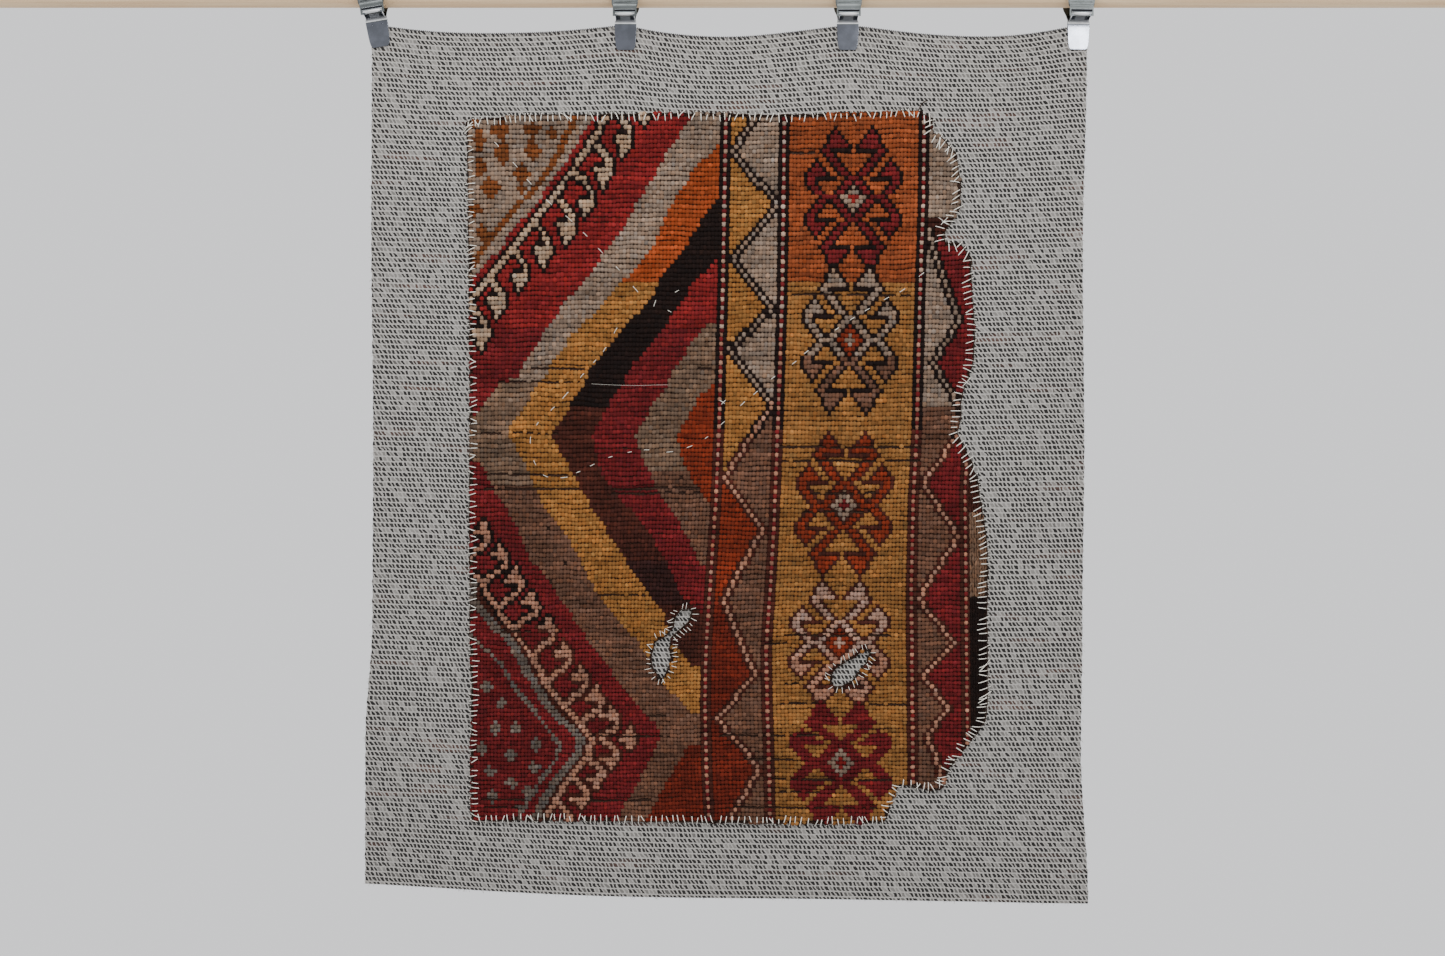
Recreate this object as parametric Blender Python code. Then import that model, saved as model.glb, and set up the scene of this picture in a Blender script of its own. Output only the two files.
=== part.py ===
"""A worn knotted-pile rug fragment, stitched to a plain woven backing cloth that four
lever clips hang from a round wooden rod. Metres, +Z up. The origin is on the rod's axis,
half way along it. The cloth hangs below the rod in the plane Y = 0 and faces -Y."""

from collections import namedtuple
from math import cos, exp, log, pi, radians, sin

import bmesh
import bpy
from mathutils import Vector
from mathutils.geometry import delaunay_2d_cdt

MM = 0.001

# Driving dimensions
ROD_RADIUS = 14 * MM
ROD_LENGTH = 1500 * MM
ROD_CHAMFER = 1.5 * MM
ROD_SIDES = 48
GAP = 0.3 * MM                   # between pieces that touch

CLOTH_THICK = 1.5 * MM
CLOTH_LEFT = -352 * MM           # cut edges at the top corners
CLOTH_RIGHT = 363.5 * MM
CLOTH_TOP = -32.5 * MM           # the upper edge where a clip grips it
CLOTH_BOTTOM = -900 * MM
CLOTH_COLUMNS = 36
CLOTH_ROWS = 42
SCALLOP_FADE = 85 * MM           # how fast the sags of the top edge die out downwards
BELLY_SAG = 4.5 * MM             # the middle of the cloth hangs lower than its two sides
CORNER_DROP = 8 * MM             # the lower right corner hangs lower than the left

RUG_THICK = 4 * MM               # ground weave and worn pile together
RUG_GAP = 0.4 * MM               # rug to cloth, a little more than GAP as both are faceted
RUG_CELL = 20 * MM
RUG_RIM = 6 * MM                 # no inner point lies closer than this to an edge

CLIP_EASE = 75 * MM              # the folds fade out within this of a clip
GRIP_DROP = 10 * MM              # middle of the grip, below the top edge
STRAP_THICK = 1.2 * MM
STRAP_RADIUS = 17.1 * MM         # middle of the strap's thickness, round the rod
STRAP_STEPS = 16
PLATE_THICK = 1.0 * MM
ROLL_RADIUS = 2.4 * MM
ROLL_HALF = 8.0 * MM
ROLL_CENTRE = (-18.9 * MM, -24.2 * MM)
EAR_X = 8.8 * MM
EAR_DEEP = 3.0 * MM

# Where each clip hangs along the rod, and how far it leans
Clip = namedtuple("Clip", "x lean_deg")
CLIPS = [
    Clip(x=-350.9 * MM, lean_deg=9.5),
    Clip(x=-96.9 * MM, lean_deg=0.0),
    Clip(x=125.2 * MM, lean_deg=0.0),
    Clip(x=356.2 * MM, lean_deg=-0.8),
]

# The top edge hangs in a shallow curve between each two grips
Span = namedtuple("Span", "left right sag lowest")
SPANS = [
    Span(left=-340 * MM, right=-105 * MM, sag=8.8 * MM, lowest=0.47),
    Span(left=-92 * MM, right=120 * MM, sag=10.4 * MM, lowest=0.42),
    Span(left=131 * MM, right=353 * MM, sag=12.0 * MM, lowest=0.55),
]

# Soft folds of the hanging cloth: each swells towards the front where rise is positive
Fold = namedtuple("Fold", "x z spread_x spread_z rise")
FOLDS = [
    Fold(x=-225 * MM, z=-75 * MM, spread_x=85 * MM, spread_z=105 * MM, rise=6.0 * MM),
    Fold(x=12 * MM, z=-75 * MM, spread_x=85 * MM, spread_z=105 * MM, rise=-4.5 * MM),
    Fold(x=245 * MM, z=-75 * MM, spread_x=85 * MM, spread_z=110 * MM, rise=6.5 * MM),
    Fold(x=-320 * MM, z=-430 * MM, spread_x=90 * MM, spread_z=240 * MM, rise=-5.0 * MM),
    Fold(x=-60 * MM, z=-480 * MM, spread_x=150 * MM, spread_z=220 * MM, rise=5.0 * MM),
    Fold(x=310 * MM, z=-520 * MM, spread_x=95 * MM, spread_z=230 * MM, rise=-5.0 * MM),
    Fold(x=-360 * MM, z=-900 * MM, spread_x=95 * MM, spread_z=110 * MM, rise=-10.0 * MM),
    Fold(x=-130 * MM, z=-915 * MM, spread_x=110 * MM, spread_z=95 * MM, rise=6.0 * MM),
    Fold(x=95 * MM, z=-900 * MM, spread_x=100 * MM, spread_z=100 * MM, rise=-4.0 * MM),
    Fold(x=360 * MM, z=-910 * MM, spread_x=95 * MM, spread_z=105 * MM, rise=9.0 * MM),
]

# The cut sides of the cloth wander a little as it hangs: x offset down each side
Side = namedtuple("Side", "z left right")
SIDES = [
    Side(z=-56 * MM, left=1.5 * MM, right=1.0 * MM),
    Side(z=-256 * MM, left=0.5 * MM, right=-3.0 * MM),
    Side(z=-456 * MM, left=2.0 * MM, right=-1.0 * MM),
    Side(z=-631 * MM, left=1.5 * MM, right=-3.0 * MM),
    Side(z=-756 * MM, left=-5.5 * MM, right=-5.0 * MM),
    Side(z=-895 * MM, left=-7.0 * MM, right=0.5 * MM),
]

# The rug fragment's worn outline, clockwise from its top left corner: millimetres
Point = namedtuple("Point", "x z")
RUG_OUTLINE = [Point(x * MM, z * MM) for x, z in (
    (-255, -129), (-196, -123), (-124, -122), (-40, -120), (60, -122), (193, -119), (209, -126),
    (208, -139), (218, -145), (232, -160), (237, -186), (237, -214), (231, -225), (221, -239),
    (222, -250), (237, -250), (248, -266), (248, -294), (252, -331), (250, -370), (238, -406),
    (238, -423), (234, -440), (247, -464), (254, -483), (262, -533), (265, -560), (264, -626),
    (265, -702), (262, -726), (253, -740), (241, -755), (224, -778), (220, -794), (207, -797),
    (187, -791), (176, -790), (168, -809), (161, -828), (107, -830), (-80, -827), (-162, -825),
    (-250, -827), (-251, -772), (-250, -689), (-252, -623), (-251, -608), (-253, -526),
    (-251, -419), (-252, -358), (-253, -259), (-254, -152),
)]

# Two holes worn through the rug: a row for each place along the hole and its half width
HolePoint = namedtuple("HolePoint", "x z half")
LONG_HOLE = [
    HolePoint(x=-31.5 * MM, z=-616.5 * MM, half=1.5 * MM),
    HolePoint(x=-37.0 * MM, z=-620.5 * MM, half=6.5 * MM),
    HolePoint(x=-41.5 * MM, z=-626.5 * MM, half=6.8 * MM),
    HolePoint(x=-47.0 * MM, z=-636.0 * MM, half=3.0 * MM),
    HolePoint(x=-53.5 * MM, z=-642.5 * MM, half=2.6 * MM),
    HolePoint(x=-59.5 * MM, z=-650.5 * MM, half=8.0 * MM),
    HolePoint(x=-61.5 * MM, z=-662.0 * MM, half=10.0 * MM),
    HolePoint(x=-61.5 * MM, z=-675.0 * MM, half=8.0 * MM),
    HolePoint(x=-61.5 * MM, z=-684.0 * MM, half=2.0 * MM),
]
SLANT_HOLE = [
    HolePoint(x=110.0 * MM, z=-690.0 * MM, half=3.0 * MM),
    HolePoint(x=114.5 * MM, z=-686.0 * MM, half=8.5 * MM),
    HolePoint(x=121.5 * MM, z=-680.5 * MM, half=10.0 * MM),
    HolePoint(x=131.0 * MM, z=-672.5 * MM, half=8.0 * MM),
    HolePoint(x=140.0 * MM, z=-664.0 * MM, half=5.5 * MM),
    HolePoint(x=146.5 * MM, z=-656.5 * MM, half=1.5 * MM),
]

# Bent sheet metal, as its middle line from one end to the other: y, z and half its width
Bend = namedtuple("Bend", "y z half")
STRAP_FRONT = [Bend(y * MM, z * MM, half * MM) for y, z, half in (
    (-13.4, -21.6, 9.0), (-15.6, -19.8, 10.4), (-16.8, -17.0, 12.2), (-17.1, -13.5, 13.2))]
STRAP_BACK = [Bend(y * MM, z * MM, half * MM) for y, z, half in (
    (17.1, -12.0, 13.2), (15.8, -18.5, 9.8), (12.0, -22.6, 9.6), (6.4, -25.2, 9.8),
    (2.9, -27.8, 10.4), (1.65, -31.0, 11.0), (1.65, -53.6, 10.2), (1.65, -56.6, 7.4))]
STRAP_HALF = 13.25 * MM
JAW = [Bend(y * MM, z * MM, half * MM) for y, z, half in (
    (-12.5, -25.6, 9.2), (-8.0, -26.7, 9.4), (-4.6, -27.8, 9.6), (-2.5, -29.0, 10.6),
    (-1.55, -30.8, 11.0), (-1.55, -53.9, 10.1), (-1.55, -56.8, 7.4))]
LEVER = [Bend(y * MM, z * MM, half * MM) for y, z, half in (
    (-18.9, -11.9, 8.2), (-18.85, -12.6, 10.3), (-18.8, -14.0, 11.6), (-18.7, -18.6, 11.8),
    (-18.6, -20.3, 10.6), (-19.3, -21.3, 10.5), (-20.6, -22.9, 10.3), (-20.9, -24.2, 8.6))]
EAR = [Bend(y * MM, z * MM, half * MM) for y, z, half in (
    (-19.4, -25.5, 0.4), (-12.0, -26.0, 0.4), (-7.5, -27.2, 0.4))]


def make_material(name, colour, roughness, metallic=0.0):
    """A Principled material of one colour."""
    material = bpy.data.materials.new(name)
    material.use_nodes = True
    shader = material.node_tree.nodes["Principled BSDF"]
    shader.inputs["Base Color"].default_value = (*colour, 1.0)
    shader.inputs["Roughness"].default_value = roughness
    shader.inputs["Metallic"].default_value = metallic
    material.diffuse_color = (*colour, 1.0)
    return material


def add_object(name, mesh, material, round_angle_deg=30):
    """Link a new object for one piece, shaded smooth across shallow angles."""
    mesh.materials.append(material)
    mesh.shade_smooth()
    mesh.set_sharp_from_angle(angle=radians(round_angle_deg))
    piece = bpy.data.objects.new(name, mesh)
    bpy.context.scene.collection.objects.link(piece)
    return piece


def finish_mesh(bm, name):
    """Close a bmesh into mesh data with its faces pointing out."""
    bmesh.ops.recalc_face_normals(bm, faces=bm.faces)
    mesh = bpy.data.meshes.new(name)
    bm.to_mesh(mesh)
    bm.free()
    return mesh


def smooth_step(low, high, value):
    """Ease from 0 at low to 1 at high."""
    t = min(max((value - low) / (high - low), 0.0), 1.0)
    return t * t * (3 - 2 * t)


def read_table(rows, key, column, value):
    """Read a column of a short table, eased between its rows."""
    if value >= getattr(rows[0], key):
        return getattr(rows[0], column)
    for upper, lower in zip(rows, rows[1:]):
        if value >= getattr(lower, key):
            t = smooth_step(getattr(upper, key), getattr(lower, key), value)
            return getattr(upper, column) * (1 - t) + getattr(lower, column) * t
    return getattr(rows[-1], column)


def top_sag(x):
    """How far the top edge sags below the grips at x."""
    for span in SPANS:
        if span.left < x < span.right:
            t = (x - span.left) / (span.right - span.left)
            return span.sag * sin(pi * t ** (log(0.5) / log(span.lowest)))
    return 0.0


def drape_y(x, z):
    """Y of the middle of the hanging cloth at x, z."""
    rise = 0.0
    for fold in FOLDS:
        across = (x - fold.x) / fold.spread_x
        down = (z - fold.z) / fold.spread_z
        rise += fold.rise * exp(-across * across - down * down)
    for clip in CLIPS:
        reach = Vector((x - clip.x, z - CLOTH_TOP + GRIP_DROP)).length
        rise *= 1 - exp(-(reach / CLIP_EASE) ** 3)
    return -rise


def hang(across, down):
    """World x and z of the cloth point that lies at these fractions of its flat sheet."""
    level = CLOTH_TOP + (CLOTH_BOTTOM - CLOTH_TOP) * down
    left = CLOTH_LEFT + read_table(SIDES, "z", "left", level)
    right = CLOTH_RIGHT + read_table(SIDES, "z", "right", level)
    x = left + (right - left) * across
    fade = exp(-(CLOTH_TOP - level) / SCALLOP_FADE)
    belly = BELLY_SAG * sin(pi * across) * (1 - fade)
    corner = CORNER_DROP * (2 * across - 1) * down * down
    return x, level - top_sag(x) * fade - belly - corner


def add_sheet(name, points, faces, front, back, material):
    """A closed sheet from flat faces: front and back are added to the drape's Y."""
    bm = bmesh.new()
    shells = []
    for offset in (front, back):
        shells.append([bm.verts.new((x, drape_y(x, z) + offset, z)) for x, z in points])
    for corners in faces:
        bm.faces.new([shells[0][i] for i in corners])
        bm.faces.new([shells[1][i] for i in reversed(corners)])
    partner = dict(zip(shells[0], shells[1]))
    rims = [edge for edge in bm.edges if edge.is_boundary and edge.verts[0] in partner]
    for edge in rims:
        first, second = edge.verts
        bm.faces.new((first, second, partner[second], partner[first]))
    return add_object(name, finish_mesh(bm, name), material)


def add_backing_cloth(material):
    """The plain cloth: one draped sheet."""
    across = [i / CLOTH_COLUMNS for i in range(CLOTH_COLUMNS + 1)]
    down = [j / CLOTH_ROWS for j in range(CLOTH_ROWS + 1)]
    points = [hang(u, v) for v in down for u in across]
    wide = CLOTH_COLUMNS + 1
    faces = []
    for row in range(CLOTH_ROWS):
        for column in range(CLOTH_COLUMNS):
            corner = row * wide + column
            faces.append((corner, corner + 1, corner + wide + 1))
            faces.append((corner, corner + wide + 1, corner + wide))
    half = CLOTH_THICK / 2
    return add_sheet("backing_cloth", points, faces, -half, half, material)


def hole_loop(rows):
    """The closed outline of a worn hole, from its middle line and half widths."""
    left, right = [], []
    for index, row in enumerate(rows):
        before = rows[max(index - 1, 0)]
        after = rows[min(index + 1, len(rows) - 1)]
        along = Vector((after.x - before.x, after.z - before.z)).normalized()
        middle = Vector((row.x, row.z))
        side = Vector((-along.y, along.x)) * row.half
        left.append(middle + side)
        right.append(middle - side)
    return left + right[::-1]


def is_inside(point, loop):
    """True where the point lies in the closed loop."""
    inside = False
    for start, end in zip(loop, loop[1:] + loop[:1]):
        if (start[1] > point[1]) != (end[1] > point[1]):
            crossing = start[0] + (point[1] - start[1]) * (end[0] - start[0]) / (end[1] - start[1])
            if point[0] < crossing:
                inside = not inside
    return inside


def near_loop(point, loop, reach):
    """True where the point is closer than reach to a corner or an edge of the loop."""
    spot = Vector(point)
    for start, end in zip(loop, loop[1:] + loop[:1]):
        run = Vector(end) - Vector(start)
        t = min(max((spot - Vector(start)).dot(run) / run.length_squared, 0.0), 1.0)
        if (Vector(start) + run * t - spot).length < reach:
            return True
    return False


def split_long(loop, longest):
    """The loop with even points added where a side is longer than this."""
    split = []
    for start, end in zip(loop, loop[1:] + loop[:1]):
        run = Vector(end) - Vector(start)
        pieces = max(1, round(run.length / longest))
        split += [tuple(Vector(start) + run * step / pieces) for step in range(pieces)]
    return split


def add_rug_fragment(material):
    """The pile rug: one thick sheet with its worn outline and its two holes."""
    outline = split_long([tuple(point) for point in RUG_OUTLINE], RUG_CELL)
    holes = [[tuple(corner) for corner in hole_loop(rows)] for rows in (LONG_HOLE, SLANT_HOLE)]
    loops = [outline] + holes
    low = Vector((min(p[0] for p in outline), min(p[1] for p in outline)))
    high = Vector((max(p[0] for p in outline), max(p[1] for p in outline)))
    columns = round((high.x - low.x) / RUG_CELL)
    rows = round((high.y - low.y) / RUG_CELL)
    points, edges = [], []
    for loop in loops:
        start = len(points)
        count = len(loop)
        points += loop
        edges += [(start + i, start + (i + 1) % count) for i in range(count)]
    for column in range(1, columns):
        for row in range(1, rows):
            spot = (low.x + (high.x - low.x) * column / columns,
                    low.y + (high.y - low.y) * row / rows)
            if is_inside(spot, outline) and not any(is_inside(spot, hole) for hole in holes):
                if not any(near_loop(spot, loop, RUG_RIM) for loop in loops):
                    points.append(spot)
    flat = [Vector(point) for point in points]
    spots, _, triangles, _, _, _ = delaunay_2d_cdt(flat, edges, [], 0, 1e-6)
    kept = []
    for corners in triangles:
        middle = sum((spots[i] for i in corners), Vector((0, 0))) / 3
        if is_inside(middle, outline) and not any(is_inside(middle, hole) for hole in holes):
            kept.append(tuple(corners))
    back = -CLOTH_THICK / 2 - RUG_GAP
    return add_sheet("rug_fragment", [tuple(spot) for spot in spots], kept,
                     back - RUG_THICK, back, material)


def add_rod(material):
    """The round wooden rod with eased ends."""
    bm = bmesh.new()
    bmesh.ops.create_cone(bm, cap_ends=True, segments=ROD_SIDES, radius1=ROD_RADIUS,
                          radius2=ROD_RADIUS, depth=ROD_LENGTH)
    rims = [edge for edge in bm.edges if abs(edge.verts[0].co.z - edge.verts[1].co.z) < MM]
    bmesh.ops.bevel(bm, geom=rims, offset=ROD_CHAMFER, segments=1, profile=0.5,
                    affect='EDGES', material=-1)
    rod = add_object("rod", finish_mesh(bm, "rod"), material)
    rod.rotation_euler = (0, radians(90), 0)
    return rod


def bent_strip(name, bends, thick, x=0.0):
    """Mesh of a strip of sheet metal that follows its bends."""
    bm = bmesh.new()
    rings = []
    for index, bend in enumerate(bends):
        before = bends[max(index - 1, 0)]
        after = bends[min(index + 1, len(bends) - 1)]
        run = Vector((0, after.y - before.y, after.z - before.z)).normalized()
        out = Vector((0, -run.z, run.y)) * (thick / 2)
        middle = Vector((x, bend.y, bend.z))
        wide = Vector((bend.half, 0, 0))
        corners = (middle - wide - out, middle + wide - out, middle + wide + out,
                   middle - wide + out)
        rings.append([bm.verts.new(corner) for corner in corners])
    for ring, following in zip(rings, rings[1:]):
        for i in range(4):
            j = (i + 1) % 4
            bm.faces.new((ring[i], ring[j], following[j], following[i]))
    bm.faces.new(rings[0])
    bm.faces.new(rings[-1][::-1])
    return finish_mesh(bm, name)


def strap_bends():
    """The strap's middle line: up the front, over the rod and down to the back jaw."""
    centre_z = ROD_RADIUS + GAP + STRAP_THICK / 2 - STRAP_RADIUS
    over = []
    for step in range(STRAP_STEPS + 1):
        angle = pi * step / STRAP_STEPS
        over.append(Bend(-STRAP_RADIUS * cos(angle), centre_z + STRAP_RADIUS * sin(angle),
                         STRAP_HALF))
    return STRAP_FRONT + over + STRAP_BACK


def merge_into(piece, others):
    """Fuse the hidden shapes into the piece."""
    for other in others:
        other.hide_render = True
        other.display_type = 'WIRE'
        union = piece.modifiers.new(other.name, 'BOOLEAN')
        union.operation = 'UNION'
        union.solver = 'EXACT'
        union.object = other


def roll_mesh(name):
    """Mesh of the lever's rolled lower edge, which turns between the ears."""
    bm = bmesh.new()
    bmesh.ops.create_cone(bm, cap_ends=True, segments=16, radius1=ROLL_RADIUS,
                          radius2=ROLL_RADIUS, depth=2 * ROLL_HALF)
    for vert in bm.verts:
        vert.co = (vert.co.z, vert.co.x + ROLL_CENTRE[0], vert.co.y + ROLL_CENTRE[1])
    return finish_mesh(bm, name)


def add_clip(number, clip, material):
    """One clip: the strap over the rod, the front jaw with its ears, and the lever."""
    name = f"clip_{number}"
    lean = radians(-clip.lean_deg)
    seat = ROD_RADIUS + GAP
    lift = seat - (seat * cos(lean) - STRAP_HALF * abs(sin(lean)))
    centre = bpy.data.objects.new(name, None)
    bpy.context.scene.collection.objects.link(centre)
    centre.location = (clip.x, 0, lift)
    centre.rotation_euler = (0, lean, 0)
    strap = add_object(f"{name}_hook", bent_strip(f"{name}_hook", strap_bends(), STRAP_THICK),
                       material)
    jaw = add_object(f"{name}_jaw", bent_strip(f"{name}_jaw", JAW, PLATE_THICK), material)
    ears = []
    for side in (-1, 1):
        ear_name = f"{name}_ear_{'left' if side < 0 else 'right'}"
        ears.append(add_object(ear_name, bent_strip(ear_name, EAR, EAR_DEEP, side * EAR_X),
                               material))
    lever = add_object(f"{name}_lever", bent_strip(f"{name}_lever", LEVER, PLATE_THICK),
                       material)
    roll = add_object(f"{name}_roll", roll_mesh(f"{name}_roll"), material)
    for piece in (strap, jaw, lever, roll, *ears):
        piece.parent = centre
    merge_into(jaw, ears)
    merge_into(lever, [roll])


def main():
    """Build the whole part."""
    for old in list(bpy.data.objects):
        bpy.data.objects.remove(old, do_unlink=True)
    wood = make_material("pale_wood", (0.60, 0.46, 0.33), 0.55)
    steel = make_material("steel", (0.42, 0.43, 0.44), 0.28, metallic=1.0)
    cloth = make_material("backing_weave", (0.48, 0.47, 0.44), 0.9)
    pile = make_material("wool_pile", (0.16, 0.055, 0.035), 0.95)
    add_rod(wood)
    add_backing_cloth(cloth)
    add_rug_fragment(pile)
    for number, clip in enumerate(CLIPS, start=1):
        add_clip(number, clip, steel)


main()
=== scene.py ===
"""Looks of a worn knotted-pile rug fragment, sewn to a ribbed backing cloth that four steel
lever clips hang from a round wooden rod. Metres, +Z up. The origin is on the rod's axis,
half way along it. The cloth hangs in the plane Y = 0 and faces -Y."""

import logging
from dataclasses import dataclass
from enum import Enum
from math import cos, log, pi, radians, sin
from typing import Iterable, NamedTuple, Sequence

import bmesh
import bpy
import numpy as np
from bmesh.types import BMEdge, BMesh, BMVert
from bpy.types import ID, Material, Mesh, Node, NodeSocket, Object
from mathutils import Matrix, Vector


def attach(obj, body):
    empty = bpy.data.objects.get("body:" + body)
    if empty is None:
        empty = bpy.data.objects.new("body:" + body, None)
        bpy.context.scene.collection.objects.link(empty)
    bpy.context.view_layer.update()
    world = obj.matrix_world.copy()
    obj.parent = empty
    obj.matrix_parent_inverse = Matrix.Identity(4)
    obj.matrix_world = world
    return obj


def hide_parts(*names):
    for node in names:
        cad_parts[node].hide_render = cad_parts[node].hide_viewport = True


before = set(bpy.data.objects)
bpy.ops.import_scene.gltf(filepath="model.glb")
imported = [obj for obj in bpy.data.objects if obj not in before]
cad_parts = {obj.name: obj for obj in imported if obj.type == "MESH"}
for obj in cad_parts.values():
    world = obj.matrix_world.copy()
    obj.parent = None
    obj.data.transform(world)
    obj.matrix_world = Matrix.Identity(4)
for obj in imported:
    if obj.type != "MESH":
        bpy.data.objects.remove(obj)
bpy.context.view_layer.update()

LOG = logging.getLogger("rug")
MM = 0.001
SEED = 7

# Sizes and places that the solids share
ROD_RADIUS = 14 * MM
ROD_LENGTH = 1500 * MM
GAP = 0.3 * MM
CLOTH_THICK = 1.5 * MM
CLOTH_LEFT, CLOTH_RIGHT = -352 * MM, 363.5 * MM
CLOTH_TOP, CLOTH_BOTTOM = -32.5 * MM, -900 * MM
CLOTH_WIDE, CLOTH_LONG = 715.5 * MM, 867.5 * MM
RUG_THICK = 4 * MM
RUG_BACK = CLOTH_THICK / 2 + 0.4 * MM      # rug's back, in front of the cloth's middle
GROUND_THICK = 1.4 * MM                    # ground weave alone
GROUND_FRONT = RUG_BACK + GROUND_THICK
PILE_HIGH = 2.6 * MM

# The pattern's tables are in millimetres: across from a plumb line left of the cloth, and down
# from a level just under the rod's axis
PLUMB_LINE = 722.5
LEVEL = 6.4


class ClipPlace(NamedTuple):
    """Where a clip hangs along the rod, and how far it leans."""

    x: float
    lean_deg: float


CLIP_PLACES = (
    ClipPlace(-350.9 * MM, 9.5),
    ClipPlace(-96.9 * MM, 0.0),
    ClipPlace(125.2 * MM, 0.0),
    ClipPlace(356.2 * MM, -0.8),
)


class Span(NamedTuple):
    """A sag of the top edge between two grips."""

    left: float
    right: float
    sag: float
    lowest: float


SPANS = (
    Span(-340 * MM, -105 * MM, 8.8 * MM, 0.47),
    Span(-92 * MM, 120 * MM, 10.4 * MM, 0.42),
    Span(131 * MM, 353 * MM, 12.0 * MM, 0.55),
)


class Fold(NamedTuple):
    """A soft swell of the hanging cloth, towards the front where rise is positive."""

    x: float
    z: float
    spread_x: float
    spread_z: float
    rise: float


FOLDS = tuple(Fold(*(value * MM for value in row)) for row in (
    (-225, -75, 85, 105, 6.0), (12, -75, 85, 105, -4.5), (245, -75, 85, 110, 6.5),
    (-320, -430, 90, 240, -5.0), (-60, -480, 150, 220, 5.0), (310, -520, 95, 230, -5.0),
    (-360, -900, 95, 110, -10.0), (-130, -915, 110, 95, 6.0), (95, -900, 100, 100, -4.0),
    (360, -910, 95, 105, 9.0),
))

# The cut sides of the cloth wander as it hangs: level, and the offset of each side there
SIDE_LEVELS = [-56, -256, -456, -631, -756, -895]
LEFT_OFFSETS = [1.5, 0.5, 2.0, 1.5, -5.5, -7.0]
RIGHT_OFFSETS = [1.0, -3.0, -1.0, -3.0, -5.0, 0.5]

# The rug's worn outline, clockwise from its top left corner: x and z in millimetres
RUG_OUTLINE = (
    (-255, -129), (-196, -123), (-124, -122), (-40, -120), (60, -122), (193, -119), (209, -126),
    (208, -139), (218, -145), (232, -160), (237, -186), (237, -214), (231, -225), (221, -239),
    (222, -250), (237, -250), (248, -266), (248, -294), (252, -331), (250, -370), (238, -406),
    (238, -423), (234, -440), (247, -464), (254, -483), (262, -533), (265, -560), (264, -626),
    (265, -702), (262, -726), (253, -740), (241, -755), (224, -778), (220, -794), (207, -797),
    (187, -791), (176, -790), (168, -809), (161, -828), (107, -830), (-80, -827), (-162, -825),
    (-250, -827), (-251, -772), (-250, -689), (-252, -623), (-251, -608), (-253, -526),
    (-251, -419), (-252, -358), (-253, -259), (-254, -152),
)

# Two holes worn through the rug: x, z and half the width at places along each
LONG_HOLE = ((-31.5, -616.5, 1.5), (-37.0, -620.5, 6.5), (-41.5, -626.5, 6.8),
             (-47.0, -636.0, 3.0), (-53.5, -642.5, 2.6), (-59.5, -650.5, 8.0),
             (-61.5, -662.0, 10.0), (-61.5, -675.0, 8.0), (-61.5, -684.0, 2.0))
SLANT_HOLE = ((110.0, -690.0, 3.0), (114.5, -686.0, 8.5), (121.5, -680.5, 10.0),
              (131.0, -672.5, 8.0), (140.0, -664.0, 5.5), (146.5, -656.5, 1.5))

Curve = Sequence[tuple[float, float]]
Colour = tuple[float, float, float]


def linear(red: float, green: float, blue: float) -> Colour:
    """Turn a display colour, 0 to 255, into linear light.

    Args:
        red: Red of the colour.
        green: Green of the colour.
        blue: Blue of the colour.

    Returns:
        The three parts in linear light.
    """
    parts = []
    for part in (red, green, blue):
        share = part / 255
        parts.append(share / 12.92 if share <= 0.04045 else ((share + 0.055) / 1.055) ** 2.4)
    return tuple(parts)


def placed(across: np.ndarray | float, down: np.ndarray | float) -> np.ndarray:
    """World x and z, in millimetres, of places that the pattern's tables give."""
    return np.stack([across - PLUMB_LINE, -(down + LEVEL)])


def eased_table(keys: Sequence[float], values: Sequence[float], at: np.ndarray) -> np.ndarray:
    """Read a short table whose keys fall, eased between its rows.

    Args:
        keys: Key of each row, from high to low.
        values: Value of each row.
        at: Where to read.

    Returns:
        The eased values.
    """
    rising, levels = -np.array(keys, float), np.array(values, float)
    row = np.clip(np.searchsorted(rising, -at) - 1, 0, len(rising) - 2)
    t = np.clip((-at - rising[row]) / (rising[row + 1] - rising[row]), 0, 1)
    t = t * t * (3 - 2 * t)
    return levels[row] * (1 - t) + levels[row + 1] * t


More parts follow.
